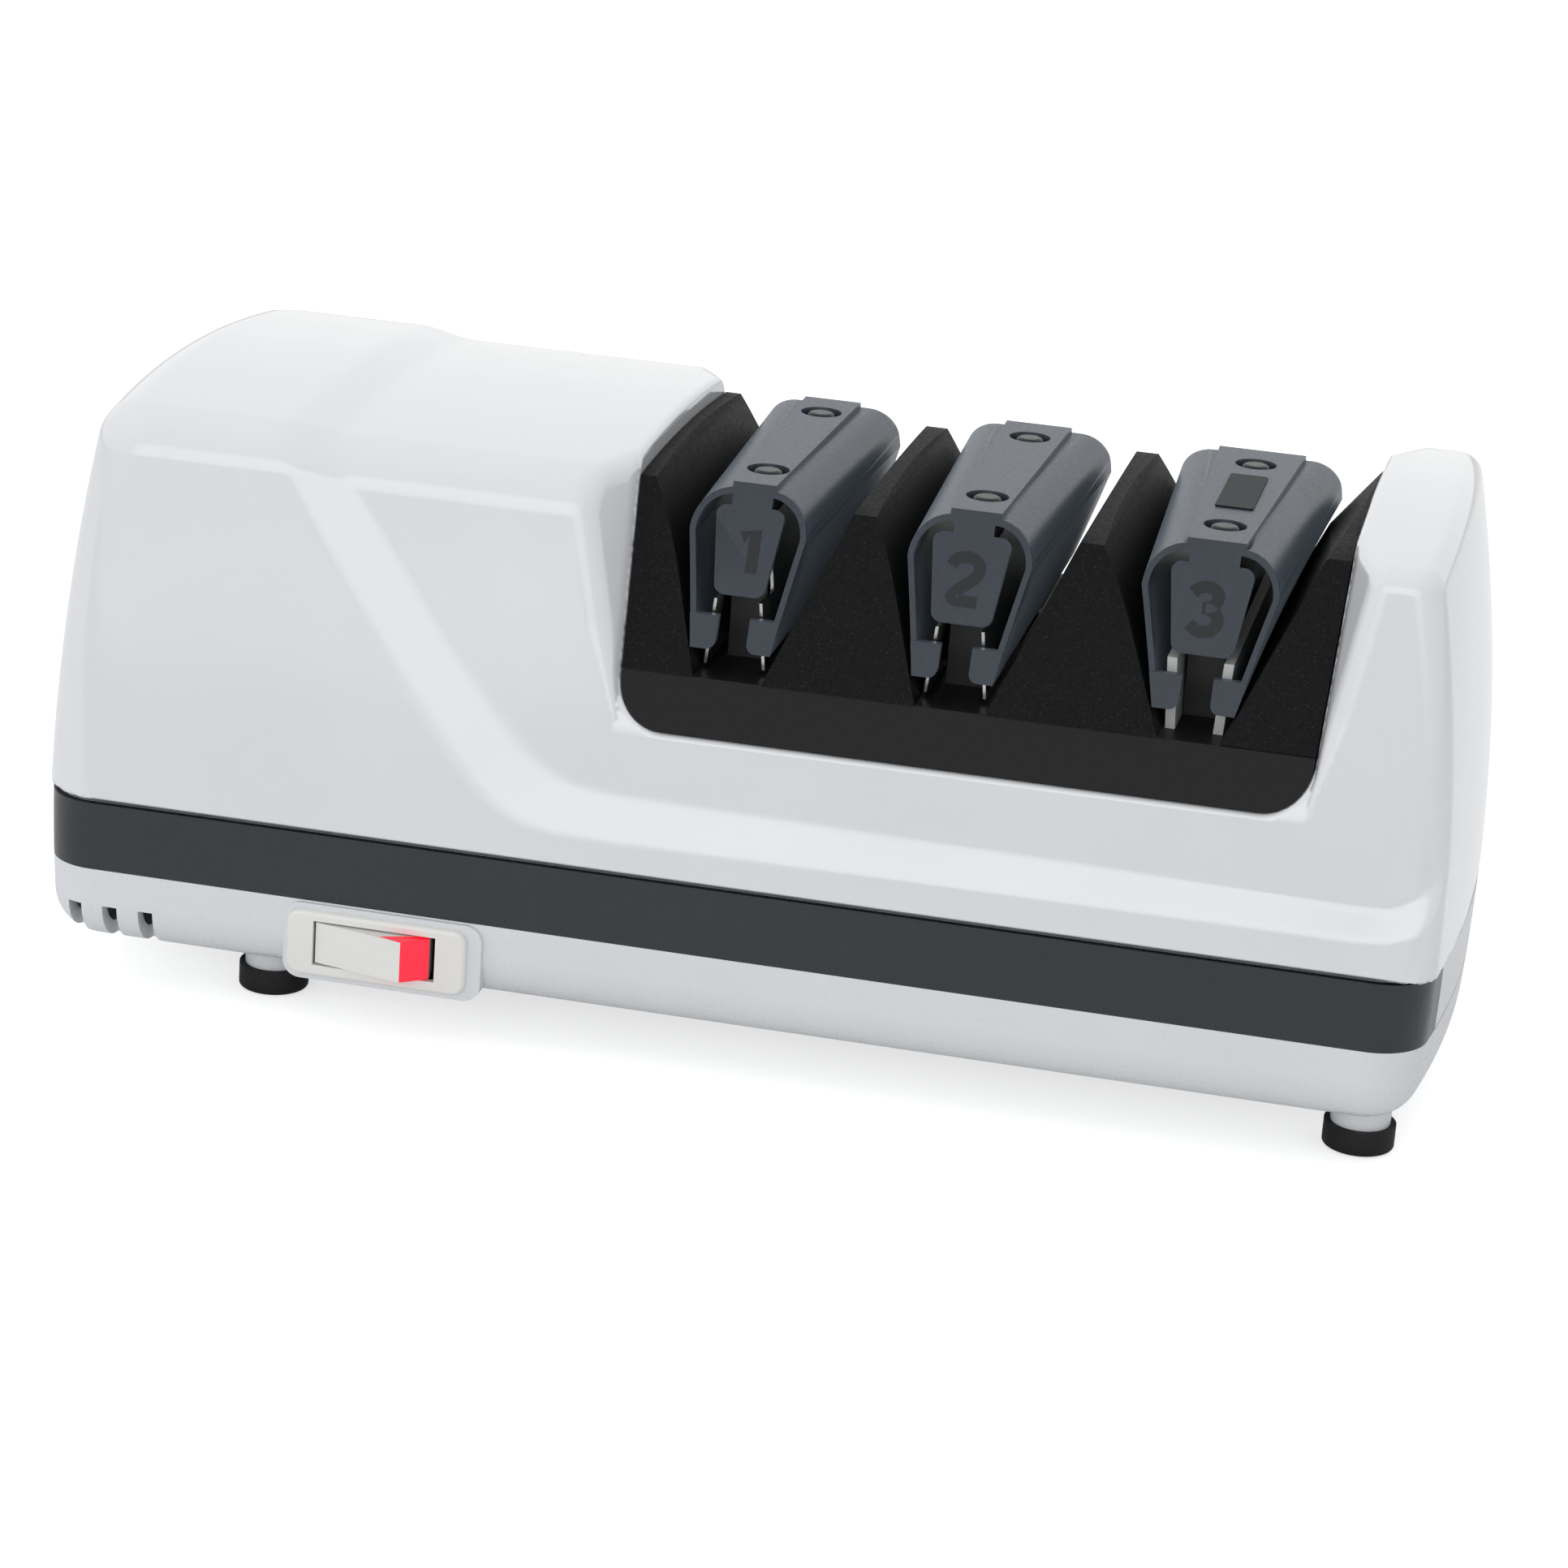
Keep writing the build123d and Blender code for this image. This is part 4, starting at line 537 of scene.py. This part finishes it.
def settle(shape, vertices, rounds=3):
    """Vertices moved onto the shape's surface, and the surface's normals there."""
    step, longest_move, flat = 0.02, 0.4, 1e-6
    for turn in range(rounds + 1):
        value = shape(*vertices.T)
        slope = np.stack([
            shape(*(vertices + step * axis).T) - shape(*(vertices - step * axis).T)
            for axis in np.eye(3)
        ], 1) / (2 * step)
        size = np.maximum((slope ** 2).sum(1), flat)
        if turn < rounds:
            move = np.clip(value / size, -longest_move, longest_move)[:, None] * slope
            vertices = vertices - move
    return vertices, slope / np.sqrt(size)[:, None]


def field_piece(name, shape, low, high, cell, keep=1.0):
    """Object whose surface is a distance field's, sampled between two corners; keep is the share of faces
    that is left once flat places are thinned out."""
    low, high = np.array(low, float), np.array(high, float)
    grids = [np.arange(a, b + cell, cell) for a, b in zip(low, high)]
    field = shape(*np.meshgrid(*grids, indexing="ij"))
    vertices, quads = surface_net(field, low, cell)
    vertices, _ = settle(shape, vertices)
    mesh = bpy.data.meshes.new(name)
    mesh.from_pydata((vertices * MM).tolist(), [], quads.tolist())
    mesh.update()
    piece = bpy.data.objects.new(name, mesh)
    bpy.context.scene.collection.objects.link(piece)
    if keep < 1:
        thin = piece.modifiers.new("thin", "DECIMATE")
        thin.ratio = keep
        thin.use_collapse_triangulate = True
        graph = bpy.context.evaluated_depsgraph_get()
        lean = bpy.data.meshes.new_from_object(piece.evaluated_get(graph))
        piece.modifiers.clear()
        piece.data = lean
        bpy.data.meshes.remove(mesh)
        mesh = lean
        mesh.name = name
    points = np.empty(len(mesh.vertices) * 3)
    mesh.vertices.foreach_get("co", points)
    _, normals = settle(shape, points.reshape(-1, 3) / MM, 0)
    mesh.polygons.foreach_set("use_smooth", [True] * len(mesh.polygons))
    mesh.normals_split_custom_set_from_vertices(normals.tolist())
    return piece


def dress(piece, body, slot, material, *replaced):
    """A finished piece: the body it rides on, its material, and the nodes it stands for; slot, its record
    slot, is not used.
    """
    piece.data.materials.clear()
    piece.data.materials.append(material)
    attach(piece, body)
    if replaced:
        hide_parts(*replaced)
    return piece


# ---------------------------------------------------------------- upper housing
HALF_DEPTH = 52.3
PARTING = 34.1
CREST = 103.1
CREST_STEP = 1.5
FACE_STEP = 1.5
DRAFT = tan(radians(6.9))
TOP_ARCH = 320.0
END_PLAN, END_SIDE_LEFT, END_SIDE_RIGHT, END_WIDEST = 430.0, 350.0, 285.0, 33.0
HALF_LENGTH = 121.0
CORNER, CORNER_RIGHT, TOP_ROUND, TOP_ROUND_RIGHT = 9.5, 4.5, 6.5, 3.0
TOWER_RISE = 0.6            # how much higher the roof of the right tower is
RIGHT_FROM, RIGHT_OVER = 40.0, 50.0     # where the right end's own values begin, and over what length
WALL = 2.4
SADDLE_LEFT, SADDLE_RIGHT, SADDLE_FLOOR = -19.3, 94.6, 58.6
LEAN_LEFT, LEAN_RIGHT = tan(radians(3.6)), tan(radians(2.6))
SADDLE_CORNER = 8.0
RIM_TOP, RIM_TOP_Y, RECLINE = 97.2, 31.3, tan(radians(23.5))
BEVEL_LEFT, BEVEL_RIGHT = 6.3, 4.4
HOUSING_FOOT = PARTING + 0.5
WINDOW_HALF_LENGTH, WINDOW_HALF_DEPTH = 44.9, 44.0      # opening in the saddle's floor
WINDOW_BELOW, WINDOW_ABOVE = 8.0, 2.0
LEVER_X, LEVER_Z = 74.4, 46.8           # slot of the dressing lever, in the back wall
LEVER_SLOT_HALF_LENGTH, LEVER_SLOT_HALF_HEIGHT, LEVER_SLOT_FROM = 4.3, 2.3, 45.0
SLOT_EDGE, FOOT_EDGE, SADDLE_EDGE = 0.4, 0.5, 1.1       # small edge roundings
BEVEL_EDGE, BEVEL_EDGE_ADDED, BEVEL_EDGE_FROM, BEVEL_EDGE_OVER = 0.5, 2.0, 61.0, 14.0
RIBBON_EASE = 0.16          # share of the ribbon's width over which its edges are rounded
SHELL_LOW, SHELL_HIGH = (-123, -54.5, 33), (123, 54.5, 105)

# the ribbon's two edges on the front, from the roof down and along the ledge to the right end
OUTER_EDGE = [
    (-79.6, 125), (-79.6, 100.0), (-79.0, 97.0), (-74.8, 90.5), (-64.8, 75.1), (-52.6, 58.9), (-46.0, 50.5),
    (-41.5, 45.6), (-36.5, 42.2), (-30.5, 40.6), (-23.3, 40.2), (-11.6, 40.2), (90.5, 41.1), (106.7, 40.9),
    (113.1, 41.8), (117.4, 46.1), (119.4, 50.5), (121.0, 57.0), (122.5, 66.0), (124.0, 90.0),
]
INNER_EDGE = [
    (-71.6, 125), (-71.6, 100.0), (-71.0, 97.5), (-67.7, 92.4), (-56.2, 78.4), (-47.6, 67.2), (-38.6, 57.2),
    (-33.5, 51.8), (-28.5, 48.4), (-22.0, 46.8), (-12.1, 46.6), (90.0, 45.7), (106.3, 44.8),
    (112.5, 46.4), (116.2, 50.0), (118.2, 55.0), (119.6, 62.0), (120.6, 75.0), (121.5, 100.0),
]


def smooth_line(points, rounds=3):
    """Polyline with its corners cut a few times."""
    line = np.array(points, float)
    for _ in range(rounds):
        near = 0.75 * line[:-1] + 0.25 * line[1:]
        far = 0.25 * line[:-1] + 0.75 * line[1:]
        line = np.concatenate([line[:1], np.stack([near, far], 1).reshape(-1, 2), line[-1:]])
    return line


def side_of(line, x, z):
    """Signed distance from a line in the XZ plane, positive on the inner side (up and to the right)."""
    best = np.full(x.shape, 1e9)
    sign = np.ones(x.shape)
    for (ax, az), (bx, bz) in zip(line[:-1], line[1:]):
        dx, dz = bx - ax, bz - az
        t = np.clip(((x - ax) * dx + (z - az) * dz) / (dx * dx + dz * dz), 0, 1)
        gap = np.hypot(x - ax - t * dx, z - az - t * dz)
        turn = dx * (z - az) - dz * (x - ax)
        near = gap < best
        best = np.where(near, gap, best)
        sign = np.where(near, np.where(turn >= 0, 1.0, -1.0), sign)
    return best * sign


class Chart:
    """A function of x and z kept on a fine grid, read back by bilinear interpolation."""

    def __init__(self, function, low, high, step):
        self.low, self.step = np.array(low, float), step
        grid = np.meshgrid(*(np.arange(a, b + step, step) for a, b in zip(low, high)), indexing="ij")
        self.values = function(*grid)

    def __call__(self, x, z):
        u = np.clip((x - self.low[0]) / self.step, 0, self.values.shape[0] - 1.001)
        v = np.clip((z - self.low[1]) / self.step, 0, self.values.shape[1] - 1.001)
        i, j = u.astype(int), v.astype(int)
        s, t = u - i, v - j
        grid = self.values
        return ((grid[i, j] * (1 - s) + grid[i + 1, j] * s) * (1 - t)
                + (grid[i, j + 1] * (1 - s) + grid[i + 1, j + 1] * s) * t)


def eased(t, k):
    """0 below 0, 1 above 1 and straight between, with both bends eased over k."""

    def ramp(u):
        return np.where(u < -k, 0, np.where(u > k, u, (u + k) ** 2 / (4 * k)))

    return ramp(t) - ramp(t - 1)


def ribbon_share(x, z):
    """How far the surface has gone down the ribbon: 0 on the outer level, 1 on the inner one."""
    outer = side_of(smooth_line(OUTER_EDGE), x, z)
    inner = side_of(smooth_line(INNER_EDGE), x, z)
    return eased(outer / np.maximum(outer - inner, 0.5), RIBBON_EASE)


ribbon = Chart(ribbon_share, (-126, 30), (126, 108), 0.5)


def tower_plane(foot_x, side, lean, bevel):
    """Plane of a tower's bevel beside the saddle, as its normal and offset in x, |y| and z."""
    top_x = foot_x + side * lean * (RIM_TOP - SADDLE_FLOOR)
    face = HALF_DEPTH - (RIM_TOP - PARTING) * DRAFT - FACE_STEP
    foot = np.array([foot_x, RIM_TOP_Y + (RIM_TOP - SADDLE_FLOOR) * RECLINE, SADDLE_FLOOR])
    rim = np.array([top_x, RIM_TOP_Y, RIM_TOP])
    outer = np.array([top_x + side * bevel, face, RIM_TOP])
    normal = np.cross(rim - foot, outer - foot)
    normal *= np.sign(normal[1]) / np.linalg.norm(normal)
    return normal, normal @ foot


LEFT_PLANE = tower_plane(SADDLE_LEFT, -1, LEAN_LEFT, BEVEL_LEFT)
RIGHT_PLANE = tower_plane(SADDLE_RIGHT, 1, LEAN_RIGHT, BEVEL_RIGHT)


def housing_form(x, y, z):
    """Outside of the housing before the saddle is cut."""
    depth = abs(y)
    share = ribbon(x, z)
    face = (depth - (HALF_DEPTH - (z - PARTING) * DRAFT) + FACE_STEP * share) / sqrt(1 + DRAFT ** 2)
    axis = END_PLAN - HALF_LENGTH
    side = np.where(x < 0, END_SIDE_LEFT, END_SIDE_RIGHT)
    reach = END_PLAN - side + np.sqrt(side ** 2 - (z - END_WIDEST) ** 2)
    end = np.hypot(abs(x) + axis, y) - reach
    right = np.clip((x - RIGHT_FROM) / RIGHT_OVER, 0, 1)
    roof = z - CREST + CREST_STEP * share - TOWER_RISE * right + y * y / (2 * TOP_ARCH)
    sides = rounded(face, end, CORNER + (CORNER_RIGHT - CORNER) * right)
    return rounded(sides, roof, TOP_ROUND + (TOP_ROUND_RIGHT - TOP_ROUND) * right)


def saddle_form(x, z):
    """Saddle opening, negative inside it."""
    left = (SADDLE_LEFT - (z - SADDLE_FLOOR) * LEAN_LEFT - x) / sqrt(1 + LEAN_LEFT ** 2)
    right = (x - SADDLE_RIGHT - (z - SADDLE_FLOOR) * LEAN_RIGHT) / sqrt(1 + LEAN_RIGHT ** 2)
    return rounded(np.maximum(left, right), SADDLE_FLOOR - z, SADDLE_CORNER)


def housing_skin(x, y, z):
    """Outside of the housing with its saddle and the bevels of the towers."""
    depth = abs(y)
    form = housing_form(x, y, z)
    bevels = [n[0] * x + n[1] * depth + n[2] * z - offset for n, offset in (LEFT_PLANE, RIGHT_PLANE)]
    bevel = np.where(x < (SADDLE_LEFT + SADDLE_RIGHT) / 2, *bevels)
    rim = (depth - RIM_TOP_Y - (RIM_TOP - z) * RECLINE) / sqrt(1 + RECLINE ** 2)
    soft = BEVEL_EDGE + BEVEL_EDGE_ADDED * np.clip((z - BEVEL_EDGE_FROM) / BEVEL_EDGE_OVER, 0, 1)
    form = rounded(form, np.minimum(bevel, rim), soft)
    return rounded(form, -saddle_form(x, z), SADDLE_EDGE)


def housing(x, y, z):
    """The whole shell: skin, hollow, open underside and the openings in it."""
    skin = housing_skin(x, y, z)
    shell = np.maximum(skin, -(skin + WALL))
    middle = (SADDLE_LEFT + SADDLE_RIGHT) / 2
    window = np.maximum(abs(x - middle) - WINDOW_HALF_LENGTH, abs(y) - WINDOW_HALF_DEPTH)
    window = np.maximum(window, SADDLE_FLOOR - WINDOW_BELOW - z)
    window = np.maximum(window, z - SADDLE_FLOOR - WINDOW_ABOVE)
    shell = np.maximum(shell, -window)
    slot = np.maximum(abs(x - LEVER_X) - LEVER_SLOT_HALF_LENGTH, abs(z - LEVER_Z) - LEVER_SLOT_HALF_HEIGHT)
    slot = np.maximum(slot, LEVER_SLOT_FROM - y)
    shell = rounded(shell, -slot, SLOT_EDGE)
    return rounded(shell, HOUSING_FOOT - z, FOOT_EDGE)


housing_cell, kept_share = ((0.8, 0.22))
upper = field_piece("upper_shell", housing, SHELL_LOW, SHELL_HIGH, housing_cell, kept_share)
dress(upper, "housing", "housing_white", finishes["housing_white"], "upper_housing")


# ---------------------------------------------------------------- numerals on the number plates
STAGE_X = (-2.2, 34.9, 74.4)
GUIDE_END_Y, GUIDE_ROOF = 31.3, 97.0
NUMERAL_HEIGHT = 87.5       # middle of the numerals
NUMERAL_RELIEF = 0.12
STROKE = 0.95               # half the width of a stroke
NUMERALS = (                # centre lines of the strokes, in mm from the middle of the numeral
    ((-1.5, 2.3), (0.7, 3.45), (0.7, -3.45)),
    ((-2.35, 2.0), (-1.9, 3.0), (-0.9, 3.6), (0.4, 3.65), (1.6, 3.2), (2.3, 2.3), (2.3, 1.2), (1.6, 0.1),
     (0.2, -1.0), (-1.3, -2.2), (-2.2, -3.65), (2.45, -3.65)),
    ((-2.3, 2.5), (-1.6, 3.3), (-0.5, 3.7), (0.7, 3.6), (1.7, 3.0), (2.0, 2.0), (1.5, 0.9), (0.4, 0.25),
     (-0.5, 0.2), (0.5, 0.15), (1.7, -0.4), (2.3, -1.4), (2.1, -2.6), (1.2, -3.5), (0.0, -3.75),
     (-1.3, -3.5), (-2.3, -2.6)),
)
NUMERAL_SHIFT = (0.7, -0.4, -0.4)


def numeral_mesh(line):
    """Flat-topped raised stroke along a centre line, in the XY plane."""
    curve = bpy.data.curves.new("numeral", "CURVE")
    curve.dimensions = "2D"
    curve.fill_mode = "BOTH"
    points = np.array(line, float)
    step = np.gradient(points, axis=0)
    side = np.stack([-step[:, 1], step[:, 0]], 1)
    side /= np.linalg.norm(side, axis=1)[:, None]
    outline = np.concatenate([points + STROKE * side, (points - STROKE * side)[::-1]])
    ring = curve.splines.new("POLY")
    ring.points.add(len(outline) - 1)
    for spot, (x, y) in zip(ring.points, outline):
        spot.co = (x, y, 0, 1)
    ring.use_cyclic_u = True
    curve.extrude = NUMERAL_RELIEF
    shape = bpy.data.objects.new("numeral", curve)
    bpy.context.scene.collection.objects.link(shape)
    mesh = bpy.data.meshes.new_from_object(shape.evaluated_get(bpy.context.evaluated_depsgraph_get()))
    bpy.data.objects.remove(shape)
    return mesh


def numeral(stage, end):
    """Raised smooth numeral on one of a guide's number plates; end is -1 at the front, 1 at the back."""
    mesh = numeral_mesh(smooth_line(NUMERALS[stage], 2) if stage else NUMERALS[stage])
    across = Vector((-end, 0, 0))
    upright = Vector((0, -end * RECLINE, 1)).normalized()
    out = across.cross(upright)
    depth = GUIDE_END_Y + (GUIDE_ROOF - NUMERAL_HEIGHT) * RECLINE
    place = Vector((STAGE_X[stage], end * depth, NUMERAL_HEIGHT)) + across * NUMERAL_SHIFT[stage]
    turn = Matrix((across, upright, out)).transposed().to_4x4()
    mesh.transform(Matrix.Scale(MM, 4) @ Matrix.Translation(place) @ turn)
    name = f"numeral_{stage + 1}_{'front' if end < 0 else 'back'}"
    mesh.name = name
    piece = bpy.data.objects.new(name, mesh)
    bpy.context.scene.collection.objects.link(piece)
    return dress(piece, "housing", "guide_slate", numeral_shaded_coat)


# the numerals are the guide's slate plastic in a darker copy of its colour: painted shade for how the
# smooth numerals look darker than the textured plate
numeral_shaded_coat = plastic("smooth_slate_painted_darker", (0.003, 0.005, 0.008), 0.30, 0.3, 0.002, 0.05, 3.0,
                       Specular_IOR_Level=0.35)
for stage in range(3):
    for end in (-1, 1):
        numeral(stage, end)


# ---------------------------------------------------------------- softened edges of the moulded pieces
SEAM_GAP = 0.01             # vertices this close are joined before the bevel
SHARP_ANGLE = radians(35)


def soften(name, width):
    """Small bevel on the edges of a piece that the solid leaves sharp."""
    weld = nodes[name].modifiers.new("weld", "WELD")
    weld.merge_threshold = SEAM_GAP * MM
    bevel = nodes[name].modifiers.new("bevel", "BEVEL")
    bevel.width = width * MM
    bevel.segments = 2
    bevel.limit_method = "ANGLE"
    bevel.angle_limit = SHARP_ANGLE
    bevel.harden_normals = True
    bevel.use_clamp_overlap = True


SOFT_EDGES = {
    "guide_wedge_left": 0.35, "guide_wedge_centre_left": 0.35, "guide_wedge_centre_right": 0.35,
    "guide_wedge_right": 0.35, "switch_bezel": 0.5, "switch_rocker": 0.35, "rocker_flag": 0.3,
    "spring_guide_1": 0.14, "spring_guide_2": 0.14, "spring_guide_3": 0.14, "rubber_feet": 0.4,
}
for name, width in SOFT_EDGES.items():
    soften(name, width)
